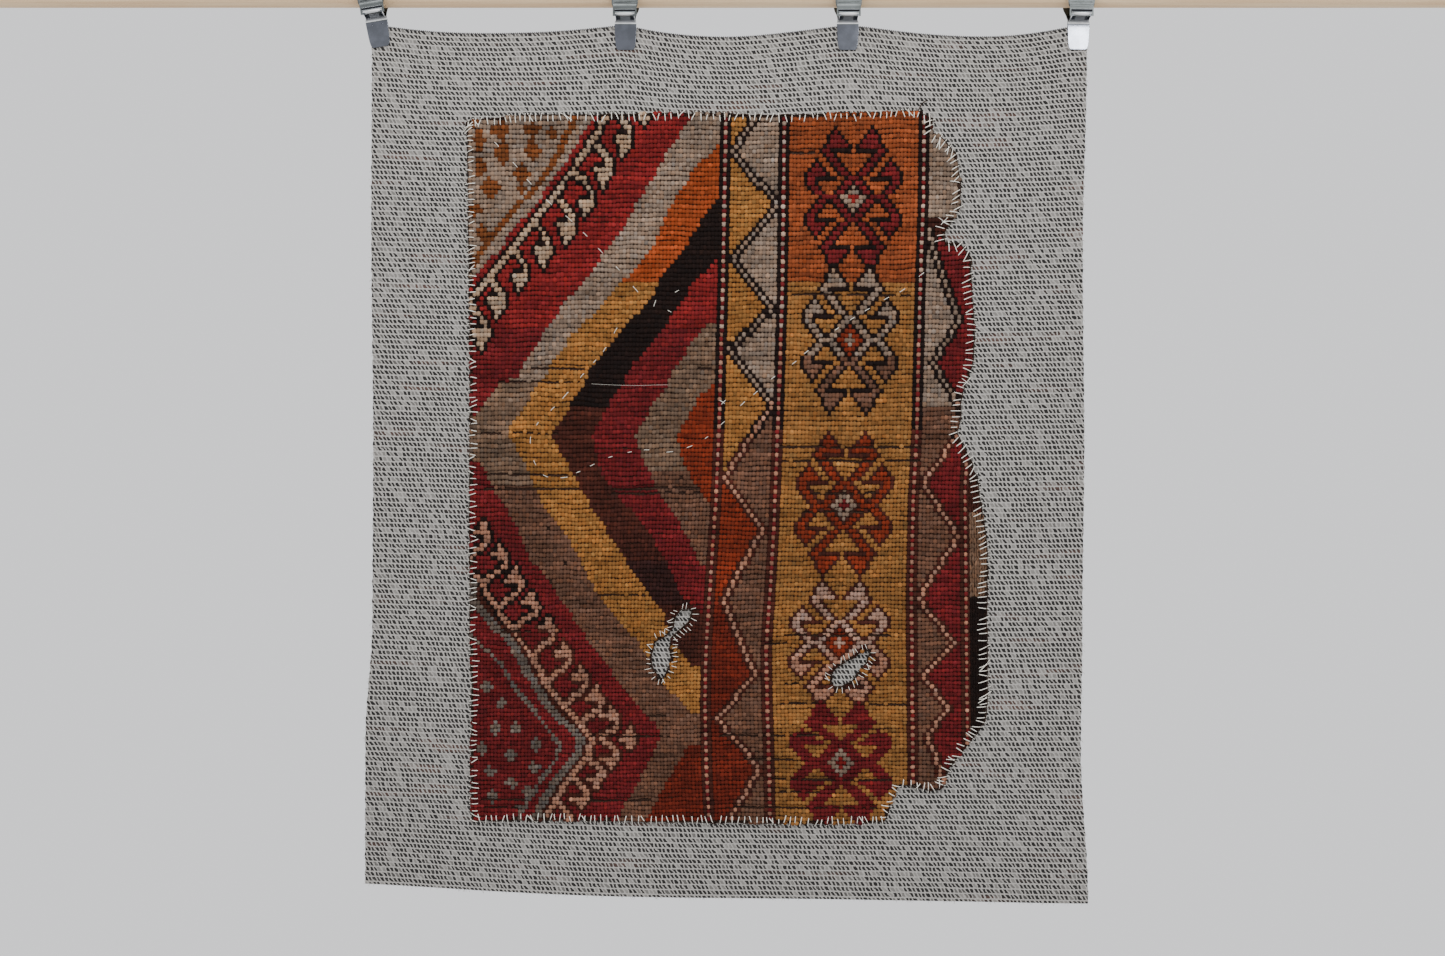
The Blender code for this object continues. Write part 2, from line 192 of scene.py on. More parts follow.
class Drape:
    """How the cloth hangs: its swells, its sagging top edge and its wandering sides."""

    CLIP_EASE = 75 * MM
    GRIP_DROP = 10 * MM
    SCALLOP_FADE = 85 * MM
    BELLY_SAG = 4.5 * MM
    CORNER_DROP = 8 * MM

    @classmethod
    def middle(cls, x: np.ndarray, z: np.ndarray) -> np.ndarray:
        """Y of the cloth's middle.

        Args:
            x: Places along the rod.
            z: Heights.

        Returns:
            Y at each place.
        """
        rise = np.zeros_like(x, dtype=float)
        for fold in FOLDS:
            across, down = (x - fold.x) / fold.spread_x, (z - fold.z) / fold.spread_z
            rise += fold.rise * np.exp(-across ** 2 - down ** 2)
        for place in CLIP_PLACES:
            reach = np.hypot(x - place.x, z - CLOTH_TOP + cls.GRIP_DROP)
            rise *= 1 - np.exp(-(reach / cls.CLIP_EASE) ** 3)
        return -rise

    @staticmethod
    def top_sag(x: np.ndarray) -> np.ndarray:
        """How far the top edge sags below the grips.

        Args:
            x: Places along the rod.

        Returns:
            The sag at each place.
        """
        sag = np.zeros_like(x)
        for span in SPANS:
            t = np.clip((x - span.left) / (span.right - span.left), 1e-6, 1)
            dip = span.sag * np.sin(pi * t ** (log(0.5) / log(span.lowest)))
            sag = np.where((x > span.left) & (x < span.right), dip, sag)
        return sag

    @classmethod
    def hang(cls, across: np.ndarray, down: np.ndarray) -> tuple[np.ndarray, np.ndarray]:
        """Where points of the flat cloth hang.

        Args:
            across: Share of the cloth's width, from its left side.
            down: Share of the cloth's length, from its top edge.

        Returns:
            World x and z of the points.
        """
        level = CLOTH_TOP + (CLOTH_BOTTOM - CLOTH_TOP) * down
        left = CLOTH_LEFT + MM * eased_table(SIDE_LEVELS, LEFT_OFFSETS, level / MM)
        right = CLOTH_RIGHT + MM * eased_table(SIDE_LEVELS, RIGHT_OFFSETS, level / MM)
        x = left + (right - left) * across
        fade = np.exp(-(CLOTH_TOP - level) / cls.SCALLOP_FADE)
        belly = cls.BELLY_SAG * np.sin(pi * across) * (1 - fade)
        corner = cls.CORNER_DROP * (2 * across - 1) * down * down
        return x, level - cls.top_sag(x) * fade - belly - corner


def laid_on(x: np.ndarray, z: np.ndarray, proud: np.ndarray | float) -> np.ndarray:
    """Points that stand in front of the cloth's middle.

    Args:
        x: Places along the rod.
        z: Heights.
        proud: How far each point stands in front.

    Returns:
        The points, one row each.
    """
    return np.stack([x, Drape.middle(x, z) - proud, z], axis=-1)


def smoothed(points: np.ndarray, rounds: int) -> np.ndarray:
    """Cut the corners of an open path, its ends kept.

    Args:
        points: Points of the path, one row each.
        rounds: How often each corner is cut.

    Returns:
        The path with its corners rounded.
    """
    for _ in range(rounds):
        near = points[:-1] * 0.75 + points[1:] * 0.25
        far = points[:-1] * 0.25 + points[1:] * 0.75
        middle = np.stack([near, far], axis=1).reshape(-1, points.shape[1])
        points = np.vstack([points[:1], middle[1:-1], points[-1:]])
    return points


class Piece:
    """Making and finishing of pieces."""

    @staticmethod
    def mesh(bm: BMesh, name: str, face_out: bool = True) -> Mesh:
        """Close a bmesh into mesh data.

        Args:
            bm: The shape, freed here.
            name: Name of the mesh.
            face_out: Whether the faces are turned outwards.

        Returns:
            The mesh data.
        """
        if face_out:
            bmesh.ops.recalc_face_normals(bm, faces=bm.faces)
        mesh = bpy.data.meshes.new(name)
        bm.to_mesh(mesh)
        bm.free()
        return mesh

    @staticmethod
    def shown(name: str, data: ID | None) -> Object:
        """Link an object that shows some data.

        Args:
            name: Name of the object.
            data: What it shows.

        Returns:
            The object.
        """
        holder = bpy.data.objects.new(name, data)
        bpy.context.scene.collection.objects.link(holder)
        return holder

    @staticmethod
    def taken(holder: Object) -> Mesh:
        """Take an object's evaluated mesh as new data, and remove the object.

        Args:
            holder: The object, with its modifiers or its curve.

        Returns:
            The mesh data.
        """
        depsgraph = bpy.context.evaluated_depsgraph_get()
        mesh = bpy.data.meshes.new_from_object(holder.evaluated_get(depsgraph))
        bpy.data.objects.remove(holder, do_unlink=True)
        return mesh

    @staticmethod
    def corners(mesh: Mesh) -> np.ndarray:
        """Where a mesh's vertices are.

        Args:
            mesh: The mesh.

        Returns:
            Their places, one row each.
        """
        spots = np.empty(len(mesh.vertices) * 3, np.float32)
        mesh.vertices.foreach_get("co", spots)
        return spots.reshape(-1, 3)

    @staticmethod
    def move(mesh: Mesh, points: np.ndarray) -> None:
        """Move a mesh's vertices to points, one row each."""
        mesh.vertices.foreach_set("co", points.astype(np.float32).ravel())

    @staticmethod
    def mark(mesh: Mesh, name: str, kind: str, values: np.ndarray) -> None:
        """Keep values on the mesh's vertices.

        Args:
            mesh: The mesh.
            name: Name of the attribute.
            kind: Its type: FLOAT, FLOAT_VECTOR or FLOAT_COLOR.
            values: A value or a row for each vertex.
        """
        part = {'FLOAT': "value", 'FLOAT_VECTOR': "vector", 'FLOAT_COLOR': "color"}[kind]
        layer = mesh.attributes.new(name, kind, 'POINT')
        layer.data.foreach_set(part, values.astype(np.float32).ravel())

    @staticmethod
    def add(name: str, mesh: Mesh, material: Material, slot: str,
            round_deg: float = 35) -> Object:
        """Link a piece, shaded smooth across shallow angles, that rides on the body.

        Args:
            name: Name of the piece.
            mesh: Its mesh, in place.
            material: Its finish.
            slot: The record's material slot that the finish belongs to; not used.
            round_deg: Edges sharper than this stay sharp.

        Returns:
            The piece.
        """
        mesh.materials.clear()
        mesh.materials.append(material)
        mesh.shade_smooth()
        mesh.set_sharp_from_angle(angle=radians(round_deg))
        piece = Piece.shown(name, mesh)
        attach(piece, "root")
        LOG.info("%s: %d faces", name, len(mesh.polygons))
        return piece

    @staticmethod
    def settled(mesh: Mesh, thick: float = 0.0, bevel: float = 0.0) -> Mesh:
        """Give a sheet of faces its thickness, and ease its edges.

        Args:
            mesh: The sheet's middle surface.
            thick: Thickness added about it.
            bevel: Width of the eased edges.

        Returns:
            New mesh data with the modifiers applied.
        """
        holder = Piece.shown(f"{mesh.name}_holder", mesh)
        if thick:
            solid = holder.modifiers.new("thickness", 'SOLIDIFY')
            solid.thickness, solid.offset, solid.use_even_offset = thick, 0.0, True
        if bevel:
            ease = holder.modifiers.new("eased edges", 'BEVEL')
            ease.width, ease.segments, ease.limit_method = bevel, 2, 'ANGLE'
            ease.angle_limit = radians(40)
        return Piece.taken(holder)

    @staticmethod
    def joined(meshes: Iterable[Mesh], name: str) -> Mesh:
        """Join meshes into one.

        Args:
            meshes: What is joined.
            name: Name of the new mesh.

        Returns:
            The joined mesh.
        """
        bm = bmesh.new()
        for mesh in meshes:
            bm.from_mesh(mesh)
        return Piece.mesh(bm, name, face_out=False)

    @staticmethod
    def threads(name: str, paths: Iterable[np.ndarray], radius: float) -> Mesh:
        """Round threads along paths, as one mesh.

        Args:
            name: Name of the mesh.
            paths: Points of each thread.
            radius: Radius of the threads.

        Returns:
            The mesh of all threads.
        """
        curve = bpy.data.curves.new(name, 'CURVE')
        curve.dimensions, curve.bevel_depth, curve.bevel_resolution = '3D', radius, 1
        curve.use_fill_caps = True
        for path in paths:
            spline = curve.splines.new('POLY')
            spline.points.add(len(path) - 1)
            spline.points.foreach_set("co", np.c_[path, np.ones(len(path))].ravel())
            spline.use_smooth = True
        return Piece.taken(Piece.shown(f"{name}_holder", curve))

    @staticmethod
    def front_map(mesh: Mesh) -> None:
        """Lay the bake's map flat over the front of a piece.

        Args:
            mesh: The piece's mesh, facing -Y.
        """
        flat = Piece.corners(mesh)[:, [0, 2]]
        low, high = flat.min(axis=0), flat.max(axis=0)
        flat = 0.004 + 0.992 * (flat - low) / (high - low)
        order = np.empty(len(mesh.loops), np.int32)
        mesh.loops.foreach_get("vertex_index", order)
        layer = mesh.uv_layers.new(name="OFBake")
        layer.uv.foreach_set("vector", flat[order].ravel().astype(np.float32))


class NodeBoard:
    """A material's nodes, added from the surface backwards."""

    def __init__(self, name: str, roughness: float) -> None:
        """Start a Principled material.

        Args:
            name: Name of the material.
            roughness: Its roughness, the same all over.
        """
        self.material = bpy.data.materials.new(name)
        self.material.use_nodes = True
        self.tree = self.material.node_tree
        self.surface = self.tree.nodes["Principled BSDF"]
        self.surface.inputs["Roughness"].default_value = roughness

    def set(self, node: Node, socket: str | int, value: object) -> None:
        """Link an output to a socket, or set the socket to a value.

        Args:
            node: The node that takes the value.
            socket: Name or number of its input.
            value: An output socket, a number or a tuple.
        """
        if isinstance(value, NodeSocket):
            self.tree.links.new(value, node.inputs[socket])
        else:
            node.inputs[socket].default_value = value

    def add(self, kind: str, output: str | int, inputs: dict[str | int, object],
            **options: object) -> NodeSocket:
        """Add a node.

        Args:
            kind: Its type, without the words that all shader nodes start with.
            output: Name or number of the output that is wanted.
            inputs: What its inputs take.
            options: Settings of the node.

        Returns:
            The output.
        """
        node = self.tree.nodes.new(f"ShaderNode{kind}")
        for name, value in options.items():
            setattr(node, name, value)
        for socket, value in inputs.items():
            self.set(node, socket, value)
        return node.outputs[output]

    def place(self) -> NodeSocket:
        """Object coordinates of the piece."""
        return self.add("TexCoord", "Object", {})

    def attribute(self, name: str, output: str) -> NodeSocket:
        """A named attribute of the piece's own mesh."""
        return self.add("Attribute", output, {}, attribute_name=name)

    def stretch(self, vector: object, scale: tuple[float, float, float]) -> NodeSocket:
        """Coordinates scaled along each axis."""
        return self.add("Mapping", "Vector", {"Vector": vector, "Scale": scale})

    def noise(self, vector: object, scale: float, detail: float = 2.0) -> NodeSocket:
        """Noise from 0 to 1."""
        return self.add("TexNoise", "Fac", {"Vector": vector, "Scale": scale, "Detail": detail})

    def grain(self, value: object) -> NodeSocket:
        """A random number for each whole value."""
        return self.add("TexWhiteNoise", "Value", {"W": value}, noise_dimensions='1D')

    def math(self, operation: str, first: object, second: object = 0.0) -> NodeSocket:
        """One sum of a Math node."""
        return self.add("Math", 0, {0: first, 1: second}, operation=operation)

    def part(self, vector: object, axis: str) -> NodeSocket:
        """One part of a vector, by its axis letter."""
        return self.add("SeparateXYZ", axis, {0: vector})

    def span(self, value: object, low: float, high: float, to_low: float = 0.0,
             to_high: float = 1.0) -> NodeSocket:
        """Map a value from low and high to two others, eased and clamped."""
        inputs = dict(enumerate((value, low, high, to_low, to_high)))
        return self.add("MapRange", "Result", inputs, interpolation_type='SMOOTHSTEP')

    def mix(self, share: object, first: object, second: object,
            blend: str = 'MIX') -> NodeSocket:
        """Mix two colours.

        Args:
            share: How much of the second shows.
            first: First colour or output.
            second: Second colour or output.
            blend: How they are mixed.

        Returns:
            The mixed colour.
        """
        inputs = {"Factor": share}
        for socket, value in ((6, first), (7, second)):
            inputs[socket] = (*value, 1.0) if isinstance(value, tuple) else value
        return self.add("Mix", 2, inputs, data_type='RGBA', blend_type=blend)

    def bump(self, height: object, deep: float, strength: float = 1.0) -> None:
        """Raise the surface by deep, in metres, where the height is 1."""
        inputs = {"Height": height, "Distance": deep, "Strength": strength}
        self.set(self.surface, "Normal", self.add("Bump", "Normal", inputs))


@dataclass(frozen=True)
class PaleWood:
    """Sanded, unvarnished pale wood with its grain along the rod."""

    light: Colour = (233, 205, 165)
    dark: Colour = (214, 179, 137)
    pore: Colour = (150, 112, 78)
    roughness: float = 0.55

    def build(self) -> Material:
        """Make the material.

        Returns:
            The material.
        """
        board = NodeBoard("pale wood", self.roughness)
        place = board.place()
        fibres = board.noise(board.stretch(place, (6, 260, 260)), 1.0, 4.0)
        figure = board.noise(board.stretch(place, (1.6, 45, 45)), 1.0, 3.0)
        pores = board.noise(board.stretch(place, (25, 900, 900)), 1.0, 2.0)
        tone = board.math('ADD', board.math('MULTIPLY', fibres, 0.5),
                          board.math('MULTIPLY', figure, 0.5))
        colour = board.mix(board.span(tone, 0.36, 0.64), linear(*self.light), linear(*self.dark))
        flecks = board.span(pores, 0.62, 0.75, 0.0, 0.25)
        colour = board.mix(flecks, colour, linear(*self.pore))
        board.set(board.surface, "Base Color", colour)
        board.bump(board.math('SUBTRACT', fibres, board.math('MULTIPLY', flecks, 0.6)),
                   0.2 * MM, 0.4)
        return board.material


@dataclass(frozen=True)
class ClipSteel:
    """Pressed steel: blued on the jaws, dull on the straps, with a painted highlight on the roll
    and the bends. The attribute tone says which, from 0 to 1, and is -1 in grooves painted dark as
    shade."""

    blued: Colour = (103, 106, 114)
    dull: Colour = (94, 98, 98)
    # painted highlight: near-white base colour for the roll and the bends
    painted_highlight: Colour = (250, 251, 252)
    scuff: Colour = (120, 122, 122)
    # painted shade: near-black colour for the grooves and notches
    groove_shade_colour: Colour = (26, 27, 31)

    def build(self) -> Material:
        """Make the material.

        Returns:
            The material.
        """
        board = NodeBoard("clip steel", 0.3)
        board.surface.inputs["Metallic"].default_value = 1.0
        place = board.place()
        tone = board.attribute("tone", "Fac")
        brushed = board.noise(board.stretch(place, (900, 2600, 900)), 1.0, 2.0)
        clouds = board.noise(place, 90.0, 3.0)
        colour = board.mix(board.span(tone, 0.0, 0.45), linear(*self.blued), linear(*self.dull))
        # painted highlight where the tone is high
        colour = board.mix(board.span(tone, 0.5, 0.75), colour, linear(*self.painted_highlight))
        worn = board.mix(1.0, colour, (0.80, 0.80, 0.79), 'MULTIPLY')
        colour = board.mix(board.span(clouds, 0.35, 0.65), colour, worn)
        scuffs = board.span(board.noise(place, 420.0, 4.0), 0.64, 0.74, 0.0, 0.25)
        colour = board.mix(scuffs, colour, linear(*self.scuff))
        # painted shade where the tone is below 0
        painted_groove_shade = board.span(tone, -1.0, -0.1, 1.0, 0.0)
        board.set(board.surface, "Base Color", board.mix(painted_groove_shade, colour, linear(*self.groove_shade_colour)))
        rough = board.math('ADD', board.math('MULTIPLY', brushed, 0.06),
                           board.span(tone, 0.1, 0.4, 0.13, 0.34))
        rough = board.math('ADD', rough, board.span(tone, 0.6, 0.75, 0.0, 0.14))
        rough = board.math('SUBTRACT', rough, board.span(tone, 0.8, 1.0, 0.0, 0.12))
        board.set(board.surface, "Roughness", rough)
        board.bump(brushed, 0.02 * MM, 0.25)
        return board.material


@dataclass(frozen=True)
class BackingWeave:
    """Coarse ribbed cloth: pale cords, with slanting dark threads showing between them."""

    rib: float = 5.15 * MM
    dash: float = 4.1 * MM
    slant: float = 0.75
    light: Colour = (158, 154, 149)
    pale: Colour = (160, 157, 151)
    pressed: Colour = (150, 146, 140)
    dark: Colour = (20, 18, 17)
    brown: Colour = (72, 50, 43)

    def build(self) -> Material:
        """Make the material.

        Returns:
            The material.
        """
        board = NodeBoard("backing weave", 0.92)
        flat = board.attribute("flat", "Vector")
        across, down = board.part(flat, "X"), board.part(flat, "Y")
        wander = board.math('MULTIPLY', board.noise(flat, 60.0, 2.0), 0.25)
        ribs = board.math('ADD', board.math('DIVIDE', down, self.rib), wander)
        row, level = board.math('FLOOR', ribs), board.math('FRACT', ribs)
        shift = board.math('MULTIPLY', board.grain(row), 7.0)
        steps = board.math('SUBTRACT', board.math('DIVIDE', across, self.dash),
                           board.math('MULTIPLY', level, self.slant))
        steps = board.math('ADD', board.math('ADD', steps, shift),
                           board.math('MULTIPLY', board.noise(flat, 170.0, 2.0), 1.2))
        wave = board.math('PINGPONG', steps, 0.5)
        band = board.math('ABSOLUTE', board.math('SUBTRACT', level, 0.5))
        ragged = board.math('MULTIPLY', board.noise(flat, 700.0, 2.0), 0.16)
        in_band = board.span(board.math('ADD', band, ragged), 0.40, 0.49, 1.0, 0.0)
        in_dash = board.span(wave, 0.28, 0.36, 1.0, 0.0)
        thread = board.math('ADD', board.math('MULTIPLY', row, 313.0),
                            board.math('FLOOR', board.math('ADD', steps, 0.5)))
        runs = board.noise(board.stretch(flat, (55, 190, 1)), 1.0, 2.0)
        some = board.math('MULTIPLY', board.span(board.grain(thread), 0.0, 0.3, 0.4, 1.0),
                          board.span(runs, 0.26, 0.4, 0.8, 1.0))
        gap = board.math('MULTIPLY', board.math('MULTIPLY', in_band, in_dash), some)
        patches = board.noise(board.stretch(flat, (9, 60, 1)), 1.0, 3.0)
        dark = board.mix(board.span(patches, 0.58, 0.72), linear(*self.dark), linear(*self.brown))
        fibre = board.noise(flat, 1500.0, 3.0)
        light = board.mix(board.span(fibre, 0.3, 0.7), linear(*self.light), linear(*self.pale))
        light = board.mix(board.math('MULTIPLY', in_band, 0.4), light, linear(*self.pressed))
        board.set(board.surface, "Base Color", board.mix(gap, light, dark))
        board.bump(board.math('SUBTRACT', fibre, board.math('MULTIPLY', gap, 1.6)),
                   0.35 * MM, 0.6)
        return board.material


@dataclass(frozen=True)
class WoolPile:
    """Dyed hand-spun wool: each knot's own attribute gives its dye and painted shade at its foot.
    """

    fibre: float = 1300.0
    deep: float = 0.35 * MM

    def build(self) -> Material:
        """Make the material.

        Returns:
            The material.
        """
        board = NodeBoard("wool pile", 0.95)
        board.surface.inputs["Specular IOR Level"].default_value = 0.15
        place = board.place()
        hair = board.noise(board.stretch(place, (1.6, 1.0, 0.7)), self.fibre, 2.0)
        # the attribute holds each knot's dye with painted shade at its foot
        dye_and_foot_shade = board.attribute("dye", "Color")
        colour = board.mix(board.span(hair, 0.3, 0.7, 0.0, 0.5), dye_and_foot_shade,
                           board.mix(1.0, dye_and_foot_shade, (0.55, 0.52, 0.5), 'MULTIPLY'))
        board.set(board.surface, "Base Color", colour)
        board.bump(hair, self.deep, 0.7)
        return board.material


@dataclass(frozen=True)
class GroundWeave:
    """The rug's ground: dark wefts that show where the pile is lost."""

    pitch: float = 2.2 * MM
    dark: Colour = (24, 16, 13)
    light: Colour = (62, 44, 35)

    def build(self) -> Material:
        """Make the material.

        Returns:
            The material.
        """
        board = NodeBoard("ground weave", 0.95)
        board.surface.inputs["Specular IOR Level"].default_value = 0.1
        place = board.place()
        wander = board.math('MULTIPLY', board.noise(place, 45.0, 2.0), 0.9)
        wefts = board.math('ADD', board.math('DIVIDE', board.part(place, "Z"), self.pitch), wander)
        cord = board.math('PINGPONG', wefts, 0.5)
        lumps = board.noise(board.stretch(place, (1.4, 1, 0.6)), 420.0, 3.0)
        tone = board.math('ADD', board.math('MULTIPLY', cord, 0.9), lumps)
        colour = board.mix(board.span(tone, 0.4, 1.2), linear(*self.dark), linear(*self.light))
        board.set(board.surface, "Base Color", colour)
        board.bump(tone, 0.5 * MM, 0.7)
        return board.material


@dataclass(frozen=True)
class SpunThread:
    """Cotton thread with a faint twist."""

    name: str
    light: Colour
    dark: Colour

    def build(self) -> Material:
        """Make the material.

        Returns:
            The material.
        """
        board = NodeBoard(self.name, 0.8)
        board.surface.inputs["Sheen Weight"].default_value = 0.2
        place = board.place()
        twist = board.noise(board.stretch(place, (1.0, 0.6, 1.7)), 900.0, 2.0)
        board.set(board.surface, "Base Color",
                  board.mix(board.span(twist, 0.35, 0.7), linear(*self.light), linear(*self.dark)))
        board.bump(twist, 0.2 * MM, 0.6)
        return board.material


@dataclass(frozen=True)
class FloorPaint:
    """A plain pale floor with the faintest mottle."""

    tone: Colour = (214, 214, 216)
    mottle: Colour = (200, 200, 203)

    def build(self) -> Material:
        """Make the material.

        Returns:
            The material.
        """
        board = NodeBoard("pale floor", 0.8)
        share = board.span(board.noise(board.place(), 3.0, 3.0), 0.3, 0.7, 0.0, 0.3)
        board.set(board.surface, "Base Color",
                  board.mix(share, linear(*self.tone), linear(*self.mottle)))
        return board.material


@dataclass(frozen=True)
class WoodenRod:
    """The round wooden rod, with eased ends."""

    radius: float = ROD_RADIUS
    length: float = ROD_LENGTH
    ease: float = 1.5 * MM
    sides: int = 96
    lengths: int = 30

    def build(self, wood: Material) -> Object:
        """Turn the rod.

        Args:
            wood: Its finish.

        Returns:
            The rod.
        """
        bm = bmesh.new()
        bmesh.ops.create_cone(bm, cap_ends=True, segments=self.sides, radius1=self.radius,
                              radius2=self.radius, depth=self.length)
        rims = [edge for edge in bm.edges if abs(edge.verts[0].co.z - edge.verts[1].co.z) < MM]
        bmesh.ops.bevel(bm, geom=rims, offset=self.ease, segments=4, profile=0.5,
                        affect='EDGES', material=-1)
        runs = [edge for edge in bm.edges if edge.calc_length() > self.length / 2]
        bmesh.ops.subdivide_edges(bm, edges=runs, cuts=self.lengths, use_grid_fill=True)
        bmesh.ops.rotate(bm, verts=bm.verts, matrix=Matrix.Rotation(pi / 2, 3, 'Y'))
        rod = Piece.add("rod_wood", Piece.mesh(bm, "rod_wood"), wood, "pale_wood")
        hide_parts("rod")
        return rod


@dataclass(frozen=True)
class LeverClip:
    """A steel lever clip: a strap hook with the back jaw, a front jaw and a lever."""

    number: int
    place: ClipPlace
    strap_thick: float = 1.2 * MM
    strap_radius: float = 17.1 * MM
    strap_half: float = 13.25 * MM
    strap_steps: int = 16
    plate_thick: float = 1.0 * MM
    roll_radius: float = 2.4 * MM
    roll_half: float = 8.0 * MM
    roll_y: float = -18.9 * MM
    roll_z: float = -24.2 * MM
    ear_x: float = 8.8 * MM
    ear_deep: float = 3.0 * MM
    ear_thick: float = 0.9 * MM
    edge: float = 0.22 * MM
    panel_rim: float = 1.5 * MM
    panel_proud: float = 0.12 * MM
    pin_half: float = 9.6 * MM
    pin_radius: float = 0.9 * MM

    # Bends of each strip: y, z and, but for the ears, half its width, in millimetres
    STRAP_FRONT = ((-13.4, -21.6, 9.0), (-15.6, -19.8, 10.4), (-16.8, -17.0, 12.2),
                   (-17.1, -13.5, 13.2))
    STRAP_BACK = ((17.1, -12.0, 13.2), (15.8, -18.5, 9.8), (12.0, -22.6, 9.6), (6.4, -25.2, 9.8),
                  (2.9, -27.8, 10.4), (1.65, -31.0, 11.0), (1.65, -53.6, 10.2),
                  (1.65, -56.6, 7.4))
    JAW = ((-12.5, -25.6, 9.2), (-8.0, -26.7, 9.4), (-4.6, -27.8, 9.6), (-2.5, -29.0, 10.6),
           (-1.55, -30.8, 11.0), (-1.55, -53.9, 10.1), (-1.55, -56.8, 7.4))
    LEVER = ((-18.9, -11.9, 8.2), (-18.85, -12.6, 10.3), (-18.8, -14.0, 11.6),
             (-18.7, -18.6, 11.8), (-18.6, -20.3, 10.6), (-19.3, -21.3, 10.5),
             (-20.6, -22.9, 10.3), (-20.9, -24.2, 8.6))
    EAR = ((-19.4, -25.5), (-12.0, -26.0), (-7.5, -27.2))

    # Heights that the lever's raised panel lies between
    PANEL_LOW, PANEL_HIGH = -18.4 * MM, -13.2 * MM

    # Turned bars: share of the length, and share of the radius there
    ROLL = ((0.0, 0.55), (0.12, 0.85), (0.3, 1.0), (0.7, 1.0), (0.88, 0.85), (1.0, 0.55))
    PIN = ((0.0, 0.8), (0.04, 1.0), (0.96, 1.0), (1.0, 0.8))

    # Pressed studs on the first clip's jaw: x and z
    STUDS = ((-4.6, -34.6), (5.4, -34.4))

    def lift(self) -> Matrix:
        """Where the clip sits on the rod, leaning.

        Returns:
            The move from the clip's own frame.
        """
        lean = radians(-self.place.lean_deg)
        seat = ROD_RADIUS + GAP
        up = seat - (seat * cos(lean) - self.strap_half * abs(sin(lean)))
        return Matrix.Translation((self.place.x, 0, up)) @ Matrix.Rotation(lean, 4, 'Y')

    @staticmethod
    def drawn(bm: BMesh, edges: list[BMEdge]) -> tuple[list[BMVert], list[BMEdge]]:
        """Extrude a row of edges.

        Args:
            bm: The shape.
            edges: Its open edges.

        Returns:
            The new vertices and the new edges.
        """
        made = bmesh.ops.extrude_edge_only(bm, edges=edges)["geom"]
        return ([item for item in made if isinstance(item, BMVert)],
                [item for item in made if isinstance(item, BMEdge)])

    def strip(self, rows: np.ndarray, columns: int) -> BMesh:
        """A strip's middle surface, drawn out bend by bend.

        Args:
            rows: y, z and half width at each bend, in metres.
            columns: Faces across the strip.

        Returns:
            The open surface.
        """
        bm = bmesh.new()
        y, z, half = rows[0]
        verts = [bm.verts.new((half * (2 * i / columns - 1), y, z)) for i in range(columns + 1)]
        edges = [bm.edges.new(pair) for pair in zip(verts, verts[1:])]
        for (_, _, before), (y, z, half) in zip(rows, rows[1:]):
            verts, edges = self.drawn(bm, edges)
            for vert in verts:
                vert.co = (vert.co.x * half / before, y, z)
        bmesh.ops.recalc_face_normals(bm, faces=bm.faces)
        return bm

    def strap_mesh(self) -> Mesh:
        """The strap: up the front, over the rod and down to the back jaw.

        Returns:
            Its mesh.
        """
        centre_z = ROD_RADIUS + GAP + self.strap_thick / 2 - self.strap_radius
        turns = [pi * step / self.strap_steps for step in range(self.strap_steps + 1)]
        over = np.array([(-self.strap_radius * cos(turn),
                          centre_z + self.strap_radius * sin(turn), self.strap_half)
                         for turn in turns])
        rows = np.vstack([np.array(self.STRAP_FRONT) * MM, over, np.array(self.STRAP_BACK) * MM])
        bm = self.strip(smoothed(rows, 2), 4)
        return Piece.settled(Piece.mesh(bm, "strap", False), self.strap_thick, self.edge)

    def jaw_mesh(self) -> Mesh:
        """The front jaw with an ear at each side.

        Returns:
            Its mesh.
        """
        jaw = self.strip(smoothed(np.array(self.JAW) * MM, 2), 4)
        parts = [Piece.settled(Piece.mesh(jaw, "jaw", False), self.plate_thick, self.edge)]
        for side in (-1, 1):
            path = [Vector((side * self.ear_x, y * MM, z * MM)) for y, z in self.EAR]
            bm = bmesh.new()
            high = Vector((0, 0, self.ear_deep / 2))
            ends = [bm.verts.new(path[0] + high), bm.verts.new(path[0] - high)]
            edges = [bm.edges.new(ends)]
            for before, after in zip(path, path[1:]):
                moved, edges = self.drawn(bm, edges)
                bmesh.ops.translate(bm, verts=moved, vec=after - before)
            parts.append(Piece.settled(Piece.mesh(bm, "ear"), self.ear_thick, self.edge))
        if self.number == 1:
            parts += [self.stud(x * MM, z * MM) for x, z in self.STUDS]
        return Piece.joined(parts, "jaw")

    def stud(self, x: float, z: float) -> Mesh:
        """A small pressed stud on the jaw.

        Args:
            x: Its place across the jaw.
            z: Its height.

        Returns:
            Its mesh.
        """
        bm = bmesh.new()
        bmesh.ops.create_uvsphere(bm, u_segments=16, v_segments=8, radius=1.0 * MM)
        bmesh.ops.scale(bm, verts=bm.verts, vec=(1, 0.45, 1))
        bmesh.ops.translate(bm, verts=bm.verts, vec=(x, -2.0 * MM, z))
        return Piece.mesh(bm, "stud")

    def lever_mesh(self) -> Mesh:
        """The lever: a plate with a raised panel, its rolled edge and the pin in it.

        Returns:
            Its mesh.
        """
        plate = self.strip(smoothed(np.array(self.LEVER) * MM, 1), 1)
        panel = [face for face in plate.faces
                 if self.PANEL_LOW < face.calc_center_median().z < self.PANEL_HIGH]
        bmesh.ops.inset_region(plate, faces=panel, thickness=self.panel_rim, depth=0.0,
                               use_even_offset=True)
        bmesh.ops.translate(plate, vec=(0, -self.panel_proud, 0),
                            verts=list({vert for face in panel for vert in face.verts}))
        sheet = Piece.settled(Piece.mesh(plate, "lever", False), self.plate_thick, self.edge)
        return Piece.joined([sheet, self.turned(self.ROLL, self.roll_half, self.roll_radius),
                             self.turned(self.PIN, self.pin_half, self.pin_radius)], "lever")

